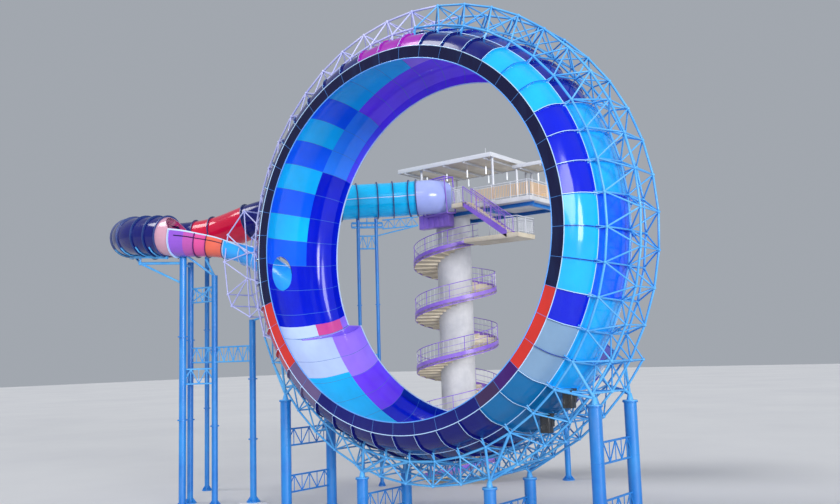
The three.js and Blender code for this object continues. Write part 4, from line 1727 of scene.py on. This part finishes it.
    def tub_frame(self, piece: Workpiece) -> None:
        """Adds the box frame round the start of the tube.

        Args:
            piece: The workpiece.
        """
        reach = self.radius + self.tub_gap
        square = [Vector((x * reach, y * reach, 0.0)) for x, y in ((-1, -1), (1, -1), (1, 1), (-1, 1))]
        first, last = ([self.line.frame_at(t) @ corner for corner in square] for t in self.tub)
        for corners in (first, last):
            for p, q in zip(corners, corners[1:] + corners[:1]):
                piece.rod(p, q, 0.045, 2, 8)
                piece.ball(p, 0.06, 2)
        for p, q in zip(first, last):
            piece.rod(p, q, 0.035, 2, 8)

    def turn(self) -> None:
        """Builds the tube of the turn: painted red light, then navy, with dark flanges, up to its slanted
        hood.
        """
        piece = Workpiece(self.palette.shell, self.palette.flange)
        red_light_end, navy_end = 6.6, 11.5
        # The crimson length with its magenta bore is painted red light, not the tube's own colour.
        self.pipe(piece, self.rear_end, red_light_end, Tint.PAINTED_RED_LIGHT, Tint.MAGENTA)
        self.pipe(piece, red_light_end, navy_end, Tint.NAVY, Tint.DEEP)
        self.pipe(piece, navy_end, self.turn_end, Tint.PEACH, Tint.ROSE, self.hood)
        for t in (6.02, red_light_end, 7.25, 7.9, 8.55, 9.2, 9.85, 10.5, 11.0, navy_end):
            self.flange(piece, t, 1, None, self.flange_width)
        piece.finish("flume_turn_dressed", "flume_navy", "flume_turn")

    def open_run(self) -> None:
        """Builds the open run, violet to orange."""
        piece = Workpiece(self.palette.shell)
        joints = (self.turn_end, 12.5, 12.9, 13.3, self.open_end)
        tints = (Tint.PLUM, Tint.ORCHID, Tint.ROSE, Tint.CORAL)
        for start, end, tint in zip(joints, joints[1:], tints):
            self.trough(piece, start, end, tint)
        self.seam(piece, 12.2, 13.95, Tint.INK)
        self.flange(piece, 12.03, 0, Tint.RIM, self.flange_width)
        for t in (12.9, 13.3, 13.97):
            self.flange(piece, t, 0, Tint.MAROON, self.thin_flange)
        piece.finish("flume_open_dressed", "flume_lilac", "flume_open_run")

    def entry(self) -> None:
        """Builds the last run, down to the channel's mouth."""
        piece = Workpiece(self.palette.shell)
        self.trough(piece, self.open_end, self.entry_end, Tint.PALE_CYAN)
        for t in (14.03, 15.0, 16.0):
            self.flange(piece, t, 0, Tint.WHITE, self.flange_width)
        piece.finish("flume_entry_dressed", "flume_blue", "flume_entry")


# The legs of the flume tower: X and Y on the site, radius, height of the head over the ring axis.
TOWER_LEGS: tuple[Box, ...] = (
    (-18.05, -1.45, 0.22, 0.98),
    (-19.06, -0.1, 0.19, 0.72),
    (-16.8, 0.0, 0.19, -0.3),
    (-13.3, 0.0, 0.19, -3.25),
)
ARM_END: Place = (-21.4, -2.25, 0.72)
TURN_LEG: Point = (-22.5, 3.95)
REAR_LEGS: tuple[Point, Point] = ((-13.65, 10.1), (-12.75, 11.0))


@dataclass
class FlumeSupports:
    """The legs and lattice girders that carry the flume."""

    palette: Palette
    plinth: float = 0.5
    plinth_half: float = 0.6
    turn_radius: float = 0.16
    turn_top: float = 1.95
    rear_radius: float = 0.12
    rear_tops: Point = (4.0, 4.05)
    bow: float = 1.27

    def build(self) -> None:
        """Builds the tower, the plinth, the turn leg and the rear legs."""
        self.tower()
        self.plinth_block()
        self.turn_leg()
        self.rear_legs()

    def leg(self, piece: Workpiece, x: float, y: float, radius: float, top: float, low: float = 0.0) -> None:
        """Adds a round leg with site flanges and a base plate.

        Args:
            piece: The workpiece.
            x: Place along the face of the ring.
            y: Place along the ring axis.
            radius: Radius of the leg.
            top: Height of its head over the ring axis.
            low: Height of its foot over the ground.
        """
        foot = at_site(x, y, low)
        height = RING_HEIGHT + top - low
        wide = radius * 1.45
        levels = [(radius, 0.05)]
        for joint in (height * 0.34, height * 0.67):
            levels += [(radius, joint - 0.04), (wide, joint - 0.035)]
            levels += [(wide, joint + 0.035), (radius, joint + 0.04)]
        piece.turned(foot, [*levels, (radius, height)])
        column_foot(piece, foot, radius)

    def tower(self) -> None:
        """Builds the four-legged tower under the open run, with its girders and arms."""
        piece = Workpiece(self.palette.column, self.palette.truss)
        a, b, c, d = TOWER_LEGS
        for leg in (a, b, c):
            self.leg(piece, *leg)
        self.leg(piece, *d, self.plinth)
        girders = ((b, c, 12.5, 2), (b, c, 8.7, 2), (c, d, 8.7, 4), (a, c, 7.4, 2), (a, b, 7.4, 1))
        for p, q, low, bays in girders:
            lattice(piece, at_site(*p[:2], low), at_site(*q[:2], low), GIRDER_DEPTH, bays, slot=1)
        end = at_axis(*ARM_END)
        perch = at_axis(*c[:2], -0.35)
        head = at_landing("h", 0.0)
        reach = (head - at_axis(*d[:2], d[3])).normalized()
        arms = (
            (at_axis(*b[:2], -0.9), at_axis(*c[:2], -1.9), 0.04),
            (at_axis(*c[:2], -0.9), at_axis(*b[:2], -1.9), 0.04),
            (at_axis(*a[:2], 0.45), at_axis(*b[:2], 0.45), 0.09),
            (at_axis(*a[:2], 0.5), end, 0.09),
            (at_axis(*a[:2], -0.8), end, 0.07),
            (end, at_axis(*ARM_END[:2], 1.28), 0.07),
            (end, at_axis(-23.6, -1.2, 1.5), 0.07),
            (perch, at_axis(-16.4, -1.0, 0.62), 0.07),
            (perch, at_axis(-17.6, -1.5, 0.9), 0.07),
            (at_axis(*d[:2], d[3] - 0.05), head - reach * 0.06, 0.06),
        )
        for p, q, r in arms:
            piece.rod(p, q, r, 1, 12)
            piece.ball(p, r * 1.25, 1)
        piece.ball(end, 0.13, 1)
        self.keel(piece)
        piece.finish("flume_tower_dressed", "column_paint", "flume_tower")

    def keel(self, piece: Workpiece) -> None:
        """Adds the keel and the saddles under the turn.

        Args:
            piece: The workpiece.
        """
        line = FlumeLine()
        outline = [(-0.07, -1.42), (0.07, -1.42), (0.07, -1.24), (-0.07, -1.24)]
        piece.absorb(Workpiece.swept(outline, line.frames(8.9, 11.6)), 1, None, False)
        turns = [0.3 * k - math.pi / 2 for k in range(-3, 4)]
        for t in (9.2, 9.9, 10.6, 11.2):
            place = line.frame_at(t)
            bows = [place @ Vector((x, y, 0.0)) for x, y in round_line(0.0, 0.0, self.bow, turns)]
            for p, q in zip(bows, bows[1:]):
                piece.rod(p, q, 0.045, 1, 8)

    def plinth_block(self) -> None:
        """Builds the block under the tower's last leg."""
        piece = Workpiece(self.palette.stone)
        middle = at_site(*TOWER_LEGS[-1][:2], 0.0)
        half = Vector((self.plinth_half, self.plinth_half, 0.0))
        piece.block(middle - half, middle + half + UP * self.plinth, 0, 0.03)
        piece.finish("tower_plinth_dressed", "concrete", "tower_plinth")

    def turn_leg(self) -> None:
        """Builds the single leg under the turn."""
        piece = Workpiece(self.palette.column)
        self.leg(piece, *TURN_LEG, self.turn_radius, self.turn_top)
        piece.finish("turn_leg_dressed", "column_paint", "flume_turn_leg")

    def rear_legs(self) -> None:
        """Builds the pair of legs under the rear run, with the saddle beam and the lattice cradle."""
        piece = Workpiece(self.palette.column, self.palette.truss)
        for leg, top in zip(REAR_LEGS, self.rear_tops):
            self.leg(piece, *leg, self.rear_radius, top)
        for low in (RING_HEIGHT + 1.9, 8.0):
            first, last = (at_site(*leg, low) for leg in REAR_LEGS)
            lattice(piece, first, last, GIRDER_DEPTH, 2, slot=1)
        p, q = (at_axis(*leg, 0.0) for leg in REAR_LEGS)
        over = (q - p).normalized() * 0.45
        beam_low, beam_top, saddle_top = 3.42, 3.72, 4.02
        for rise in (beam_low, beam_top):
            piece.rod(p - over + UP * rise, q + over + UP * rise, 0.08, 1, 12)
        for i in range(7):
            at = (p - over).lerp(q + over, i / 6)
            piece.rod(at + UP * beam_low, at + UP * (saddle_top if i % 2 else beam_top), 0.04, 1, 8)
        far = at_axis(-10.35, 12.75, 3.45)
        lattice(piece, q + over + UP * 3.3, far, 0.62, 3, 0.045, 1)
        piece.rod(q + UP * 2.8, far, 0.045, 1, 10)
        piece.finish("rear_legs_dressed", "column_paint", "flume_rear_legs")


CORE = (-9.9, 16.4)
CORE_RADIUS = 1.25
STAIR_RADIUS = 3.0
FLIGHTS = 3
FLIGHT_STEPS = 29
STEPS = FLIGHTS * FLIGHT_STEPS
STEP_TURN = 18.0
STAIR_TOP = RING_HEIGHT + 2.2
RISER = STAIR_TOP / STEPS
DECK_TOP = RING_HEIGHT + 4.75
SLAB = 0.3
BEAM_TOP = DECK_TOP - 0.3003
ROOF_LOW = RING_HEIGHT + 7.85
SIDE_ROOF_LOW = RING_HEIGHT + 7.4


@dataclass
class LaunchTower:
    """The core with its helical stair, the front flight, the launch deck and the roofs."""

    palette: Palette
    rail_height: float = 1.1
    toe: float = 0.12
    post: float = 0.025
    picket: float = 0.011
    baluster: float = 0.016
    pour_joints: int = 6
    deck_box: Box = (-11.6, -2.2, 14.5, 19.4)
    roof_box: Box = (-13.2, -5.0, 14.2, 19.5)
    side_box: Box = (-4.99, -2.21, 17.0, 19.5)
    beam_rows: Point = (15.3, 18.9)
    column_radius: float = 0.2

    def build(self) -> None:
        """Builds the tower from the ground up."""
        self.core()
        for flight in range(FLIGHTS):
            self.flight(flight)
        self.front_flight()
        self.deck()
        self.beams()
        self.back_column()
        self.fascia()
        self.roof()
        self.side_roof()
        self.roof_posts()

    def core(self) -> None:
        """Builds the concrete core with its pour joints."""
        piece = Workpiece(self.palette.stone)
        height = DECK_TOP - SLAB
        full, cut = CORE_RADIUS, CORE_RADIUS - 0.008
        levels = [(full, 0.0)]
        for i in range(1, self.pour_joints + 1):
            z = height * i / (self.pour_joints + 1)
            levels += [(full, z - 0.012), (cut, z - 0.008), (cut, z + 0.008), (full, z + 0.012)]
        piece.turned(at_site(*CORE, 0.0), [*levels, (full, height)], 0, 48)
        piece.finish("tower_core_dressed", "concrete", "tower_core")

    def helix(self, radius: float, place: float, rise: float) -> Vector:
        """Gives a point over the slope of the stair.

        Args:
            radius: Distance from the core axis.
            place: Place round the core, in steps from the ground.
            rise: Height over the slope of the stair.

        Returns:
            The point.
        """
        turn = math.radians(STEP_TURN * (place - STEPS - 1))
        x, y = CORE
        return at_site(x + radius * math.cos(turn), y + radius * math.sin(turn), RISER * place + rise)

    def helical(
        self, piece: Workpiece, outline: Sequence[Point], first: float, last: float, slot: int
    ) -> None:
        """Sweeps an outline up the stair.

        Args:
            piece: The workpiece.
            outline: Radius and height pairs over the slope.
            first: First place, in steps.
            last: Last place, in steps.
            slot: Number of the material.
        """
        part = Workpiece()
        line = part.outline([self.helix(r, first, h) for r, h in outline])
        places = last - first
        steps = math.ceil(places * 3)
        turn = math.radians(STEP_TURN * places)
        part.spin(line, at_site(*CORE, 0.0), UP, turn, steps, RISER * places / steps)
        part.close_ends()
        piece.absorb(part, slot)

    def flight(self, flight: int) -> None:
        """Builds one turn and a half of the helical stair.

        Args:
            flight: Number of the flight from 0.
        """
        piece = Workpiece(self.palette.stair, self.palette.rail, self.palette.violet)
        first = flight * FLIGHT_STEPS
        last = first + FLIGHT_STEPS
        inner, outer = CORE_RADIUS + 0.002, STAIR_RADIUS - 0.005
        side = outer - 0.05
        bottom = first + (1.6 if flight == 0 else 0.0)
        self.helical(piece, [(inner, -0.1), (outer, -0.1), (outer, 0.04), (inner, 0.04)], bottom, last, 0)
        self.helical(piece, [(side, -0.16), (outer, -0.16), (outer, 0.3), (side, 0.3)], bottom, last, 2)
        for step in range(first, last):
            self.step(piece, step, inner, side)
        self.rails(piece, first + 0.5, last)
        piece.finish(f"stair_{flight + 1}_dressed", "stair_paint", f"stair_{flight + 1}")

    def step(self, piece: Workpiece, step: int, inner: float, outer: float) -> None:
        """Adds one tread with its riser.

        Args:
            piece: The workpiece.
            step: Number of the step.
            inner: Radius of its inner end.
            outer: Radius of its outer end.
        """
        part = Workpiece()
        low = max(-0.02, -RISER * step)
        corners = ((inner, low), (outer, low), (outer, RISER), (inner, RISER))
        line = part.outline([self.helix(r, step, h) for r, h in corners])
        part.spin(line, at_site(*CORE, 0.0), UP, math.radians(STEP_TURN + 0.6), 3)
        part.close_ends()
        piece.absorb(part, 0, None, False)

    def rails(self, piece: Workpiece, first: float, last: float) -> None:
        """Adds the handrail, mid rails and pickets on the outside of the stair.

        Args:
            piece: The workpiece.
            first: First place, in steps.
            last: Last place, in steps.
        """
        radius = STAIR_RADIUS - 0.06
        string_top, gap = 0.25, 0.4
        high = self.rail_height + RISER
        for rise, thick in ((high, 0.03), (0.45, 0.016), (0.85, 0.016)):
            ring = round_line(radius, rise, thick, (0.0, 1.05, 2.09, 3.14, 4.19, 5.24))
            self.helical(piece, ring, first, last, 2)
        place = first
        while place < last:
            foot = self.helix(radius, place, string_top)
            piece.rod(foot, foot + UP * (high - string_top), self.post, 2, 8)
            for k in range(1, 5):
                if place + k * gap < last:
                    low = self.helix(radius, place + k * gap, string_top)
                    piece.rod(low, low + UP * (high - string_top - 0.02), self.picket, 1, 4)
            place += 5 * gap

    def rail_run(
        self, piece: Workpiece, points: Sequence[Vector], slot: int, pitch: float = 0.14, amber: bool = False
    ) -> None:
        """Adds a straight-sided railing with posts and pickets.

        Args:
            piece: The workpiece.
            points: Foot of the railing at each corner.
            slot: Number of the material.
            pitch: Distance between pickets.
            amber: Whether it has the thicker pickets in the piece's third material.
        """
        rise = UP * self.rail_height
        low, high = UP * self.toe, rise - UP * 0.14
        bar, bar_slot = (self.baluster, 2) if amber else (self.picket, slot)
        for p, q in zip(points, points[1:]):
            length = (q - p).length
            piece.rod(p + rise, q + rise, 0.032, slot, 10)
            for level in (low, high):
                piece.rod(p + level, q + level, 0.018, slot, 8)
            posts = max(1, round(length / 1.3))
            for i in range(posts + 1):
                foot = p.lerp(q, i / posts)
                piece.rod(foot, foot + rise, 0.03, slot, 8)
            bars = max(1, round(length / pitch))
            for i in range(1, bars):
                foot = p.lerp(q, i / bars)
                piece.rod(foot + low, foot + high, bar, bar_slot, 4)

    def front_flight(self) -> None:
        """Builds the straight flight along the front of the deck with its two landings."""
        piece = Workpiece(self.palette.stair, self.palette.rail, self.palette.violet)
        y, foot, head, width, steps = 13.95, -3.6, -6.9, 1.06, 14
        near, far = y - width / 2, y + width / 2
        going, rise = (foot - head) / steps, (DECK_TOP - STAIR_TOP) / steps
        for i in range(steps):
            x, top = foot - going * i, STAIR_TOP + rise * (i + 1)
            under = top - 0.05
            tread = at_site(x - going - 0.02, near + 0.05, under)
            piece.block(tread, at_site(x + 0.03, far - 0.05, top), 0, 0.008)
            piece.block(at_site(x - 0.02, near + 0.05, top - rise), at_site(x, far - 0.05, under), 0, 0.004)
        slope = [(foot + 0.1, STAIR_TOP - 0.28), (foot + 0.1, STAIR_TOP + 0.22)]
        slope += [(head - 0.05, DECK_TOP + 0.02), (head - 0.05, DECK_TOP - SLAB)]
        for side in (near, far - 0.05):
            piece.slab([at_site(x, side, z) for x, z in slope], Vector((0.0, 0.05, 0.0)), 2)
        piece.block(at_site(-6.95, near, STAIR_TOP - SLAB), at_site(-2.6, 15.6, STAIR_TOP), 0, 0.02)
        landing = at_site(head - 1.0, near, DECK_TOP - SLAB)
        piece.block(landing, at_site(head + 0.05, 14.4993, DECK_TOP), 0, 0.02)
        for side in (near + 0.025, far - 0.025):
            ends = [at_site(foot, side, STAIR_TOP + 0.15), at_site(head, side, DECK_TOP)]
            self.rail_run(piece, ends, 2, 0.4)
        edge = near + 0.03
        low = [(foot, edge), (-2.65, edge), (-2.65, 15.55), (-6.2, 15.55)]
        high = [(head, edge), (head - 0.95, edge), (head - 0.95, 14.45)]
        for z, corners in ((STAIR_TOP, low), (DECK_TOP, high)):
            self.rail_run(piece, [at_site(x, y, z) for x, y in corners], 1)
        piece.finish("front_flight_dressed", "stair_paint", "front_flight")

    def deck(self) -> None:
        """Builds the launch deck with its railing, open at the flight and at the tube."""
        piece = Workpiece(self.palette.stone, self.palette.rail, self.palette.amber)
        x0, x1, y0, y1 = self.deck_box
        piece.block(at_site(x0, y0, DECK_TOP - SLAB), at_site(x1, y1, DECK_TOP), 0, 0.02)
        near, far, left, right = y0 + 0.06, y1 - 0.06, x0 + 0.06, x1 - 0.06
        run = [(-6.75, near), (right, near), (right, far), (left, far), (left, near), (-10.9, near)]
        for corners in (run, [(-8.1, near), (-7.95, near)]):
            self.rail_run(piece, [at_site(x, y, DECK_TOP) for x, y in corners], 1, 0.13, True)
        piece.finish("launch_deck_dressed", "concrete", "launch_deck")

    def beams(self) -> None:
        """Builds the rolled beams under the deck."""
        piece = Workpiece(self.palette.column)
        front, back = self.beam_rows
        lines = [((-11.4, y), (-2.4, y)) for y in self.beam_rows]
        lines += [((x, front + 0.1), (x, back - 0.1)) for x in (-11.3, -9.9, -6.15, -2.75)]
        for (ax, ay), (bx, by) in lines:
            across = -FRONT if ay == by else Vector((1.0, 0.0, 0.0))
            for low, high, half in ((0.0, 0.02, 0.1), (0.02, 0.23, 0.008), (0.23, 0.25, 0.1)):
                start, end = at_site(ax, ay, BEAM_TOP - high), at_site(bx, by, BEAM_TOP - low)
                piece.block(start - across * half, end + across * half, 0, 0.003)
        piece.finish("deck_beams_dressed", "column_paint", "deck_beams")

    def back_column(self) -> None:
        """Builds the column at the back corner of the deck."""
        piece = Workpiece(self.palette.column)
        foot = at_site(-2.75, self.beam_rows[1], 0.0)
        r, height = self.column_radius, BEAM_TOP - 0.25
        half = height * 0.5
        levels = [(r, 0.05), (r, half - 0.04), (0.27, half - 0.035), (0.27, half + 0.035)]
        levels += [(r, half + 0.04), (r, height - 0.04), (0.26, height - 0.035), (0.26, height - 0.0005)]
        piece.turned(foot, levels, 0, 32)
        column_foot(piece, foot, r)
        piece.finish("deck_column_dressed", "column_paint", "deck_column")

    def fascia(self) -> None:
        """Builds the panelled fascia over the tube."""
        piece = Workpiece(self.palette.violet)
        low, high = at_site(-11.6, 14.5, BEAM_TOP - 1.0), at_site(-8.9, 15.1, BEAM_TOP)
        piece.block(low + Vector((0.0, 0.03, 0.0)), high)
        panels, gap = 6, 0.012
        width = (high.x - low.x) / panels
        for i in range(panels):
            x = low.x + width * i
            corner = Vector((x + width - gap, low.y + 0.04, high.z - gap))
            piece.block(Vector((x + gap, low.y, low.z + gap)), corner)
        piece.finish("deck_fascia_dressed", "roof_panel", "deck_fascia")

    def roof_sheet(self, piece: Workpiece, box: Box, z: float, thick: float) -> None:
        """Adds a flat roof: ribbed sheet, thin edge trim and rafters.

        Args:
            piece: The workpiece.
            box: Its two ends along the face of the ring, then its two sides.
            z: Height of its underside.
            thick: Its thickness.
        """
        x0, x1, y0, y1 = box
        top = z + thick
        piece.block(at_site(x0, y0, z), at_site(x1, y1, top), 0, 0.02)
        ribs = round((x1 - x0) / 0.4)
        for i in range(ribs + 1):
            x = x0 + 0.15 + (x1 - x0 - 0.3) * i / ribs
            piece.block(at_site(x - 0.03, y0 + 0.02, top - 0.01), at_site(x + 0.03, y1 - 0.02, top + 0.03))
        for y in (y0, y1 - 0.03):
            low, high = at_site(x0 - 0.006, y - 0.008, z - 0.05), at_site(x1 + 0.006, y + 0.038, top + 0.04)
            piece.block(low, high, 1, 0.008)
        for x in (x0, x1 - 0.03):
            low, high = at_site(x - 0.008, y0 - 0.002, z - 0.045), at_site(x + 0.038, y1 + 0.002, top + 0.045)
            piece.block(low, high, 1, 0.008)
        rafters = max(2, round((x1 - x0) / 1.6))
        for i in range(rafters):
            x = x0 + 0.6 + (x1 - x0 - 1.2) * i / (rafters - 1)
            piece.block(at_site(x - 0.05, y0 + 0.05, z - 0.14), at_site(x + 0.05, y1 - 0.05, z + 0.01), 1)

    def lamp(self, piece: Workpiece, at: Vector) -> None:
        """Hangs a slim tube lamp from the roof."""
        piece.rod(at - UP * 0.4, at, 0.01, 1)
        piece.turned(at - UP * 0.95, [(0.02, 0.0), (0.045, 0.02), (0.045, 0.52), (0.03, 0.56)], 2, 12)

    def roof(self) -> None:
        """Builds the roof over the deck with its lamps and finial."""
        piece = Workpiece(self.palette.roof, self.palette.rail, self.palette.lamp)
        thick = 0.22
        self.roof_sheet(piece, self.roof_box, ROOF_LOW, thick)
        for y in (15.4, 18.2):
            for x in (-11.4, -9.6, -7.8, -6.2):
                self.lamp(piece, at_site(x, y, ROOF_LOW))
        finial = [(0.05, 0.0), (0.05, 0.04), (0.018, 0.06), (0.014, 0.42), (0.0, 0.45)]
        piece.turned(at_site(-5.56, 14.45, ROOF_LOW + thick), finial, 1, 10)
        piece.finish("launch_roof_dressed", "roof_panel", "launch_roof")

    def side_roof(self) -> None:
        """Builds the lower roof at the back, with its four posts."""
        piece = Workpiece(self.palette.roof, self.palette.rail, self.palette.lamp)
        self.roof_sheet(piece, self.side_box, SIDE_ROOF_LOW, 0.16)
        for x in (-4.79, -2.41):
            for y in (17.2, 19.3):
                self.post_at(piece, x, y, SIDE_ROOF_LOW - DECK_TOP, 1)
        self.lamp(piece, at_site(-3.6, 18.2, SIDE_ROOF_LOW))
        piece.finish("side_roof_dressed", "roof_panel", "side_roof")

    def post_at(self, piece: Workpiece, x: float, y: float, height: float, slot: int) -> None:
        """Stands a round post with its foot and head plates on the deck.

        Args:
            piece: The workpiece.
            x: Place along the face of the ring.
            y: Place along the ring axis.
            height: Height of the post.
            slot: Number of the material.
        """
        levels = [(0.16, 0.001), (0.16, 0.03), (0.09, 0.05)]
        levels += [(0.09, height - 0.05), (0.15, height - 0.03), (0.15, height - 0.001)]
        piece.turned(at_site(x, y, DECK_TOP), levels, slot, 20)

    def roof_posts(self) -> None:
        """Builds the four round posts of the roof."""
        places = [(x, y) for x in (-11.4, -5.2) for y in (14.7, 19.2)]
        for number, (x, y) in enumerate(places, 1):
            piece = Workpiece(self.palette.rail)
            self.post_at(piece, x, y, ROOF_LOW - DECK_TOP, 0)
            piece.finish(f"roof_post_{number}_dressed", "rail_paint", f"roof_post_{number}")


# The studio's lamps: the direction that each one shines from, and its strength.
SUNS: dict[str, tuple[Place, float]] = {
    "key": ((0.6, -0.8, 0.3), 1.3),
    "side": ((0.95, -0.34, 0.05), 2.4),
    "fill": ((-0.5, -0.45, 0.9), 1.2),
}


@dataclass
class Studio:
    """Pale floor, soft light and the camera at the photograph's viewpoint."""

    place: Place = (33.30, -42.961, 8.59)
    azimuth: float = 37.51
    pitch: float = 6.98
    roll: float = -1.71
    lens: float = 36.99
    reach: float = 1000.0
    floor_size: float = 400.0
    sky: Colour = (0.8, 0.86, 0.95)
    sky_strength: float = 0.45
    sun_angle: float = 24.0

    def build(self) -> None:
        """Sets the studio up."""
        self.floor()
        self.light()
        self.camera()

    def floor(self) -> None:
        """Lays the floor."""
        bm = bmesh.new()
        place = Matrix.Translation(UP * -0.002)
        bmesh.ops.create_grid(bm, x_segments=1, y_segments=1, size=self.floor_size, matrix=place)
        mesh = bpy.data.meshes.new("floor")
        bm.to_mesh(mesh)
        bm.free()
        board = Board("floor_paint")
        tone = board.mix(board.span(board.noise(0.05), 0.0, 1.0), (0.72, 0.72, 0.73), (0.66, 0.66, 0.68))
        mesh.materials.append(board.close(tone, 0.9))
        floor = bpy.data.objects.new("floor", mesh)
        bpy.context.scene.collection.objects.link(floor)

    def light(self) -> None:
        """Adds a soft sky and three broad lamps."""
        scene = bpy.context.scene
        world = bpy.data.worlds.new("studio")
        world.use_nodes = True
        sky = world.node_tree.nodes["Background"].inputs
        sky[0].default_value = (*self.sky, 1.0)
        sky[1].default_value = self.sky_strength
        scene.world = world
        for name, (way, energy) in SUNS.items():
            lamp = bpy.data.lights.new(name, "SUN")
            lamp.energy = energy
            lamp.angle = math.radians(self.sun_angle)
            light = bpy.data.objects.new(name, lamp)
            light.rotation_mode = "QUATERNION"
            light.rotation_quaternion = Vector(way).to_track_quat("Z", "Y")
            scene.collection.objects.link(light)
        scene.view_settings.view_transform = "Standard"

    def camera(self) -> None:
        """Puts the camera where the photograph was taken."""
        az, pitch, roll = (math.radians(a) for a in (self.azimuth, self.pitch, self.roll))
        ahead = Vector((-math.sin(az) * math.cos(pitch), math.cos(az) * math.cos(pitch), math.sin(pitch)))
        right = Vector((math.cos(az), math.sin(az), 0.0))
        above = right.cross(ahead)
        across = right * math.cos(roll) + above * math.sin(roll)
        upward = above * math.cos(roll) - right * math.sin(roll)
        data = bpy.data.cameras.new("camera")
        data.lens = self.lens
        data.sensor_width = 36.0
        data.clip_end = self.reach
        camera = bpy.data.objects.new("camera", data)
        turn = Matrix((across, upward, -ahead)).transposed().to_4x4()
        camera.matrix_world = Matrix.Translation(self.place) @ turn
        bpy.context.scene.collection.objects.link(camera)
        bpy.context.scene.camera = camera


def main() -> None:
    """Builds every sub-assembly in order."""
    logging.basicConfig(level=logging.INFO, format="%(message)s")
    palette = Palette.mixed()
    for kind in (RingChannel, RingTruss, RingColumns, Flume, FlumeSupports, LaunchTower):
        LOG.info("%s", kind.__name__)
        kind(palette).build()
    Studio().build()
    Stock.clear()


if __name__ == "__main__":
    main()
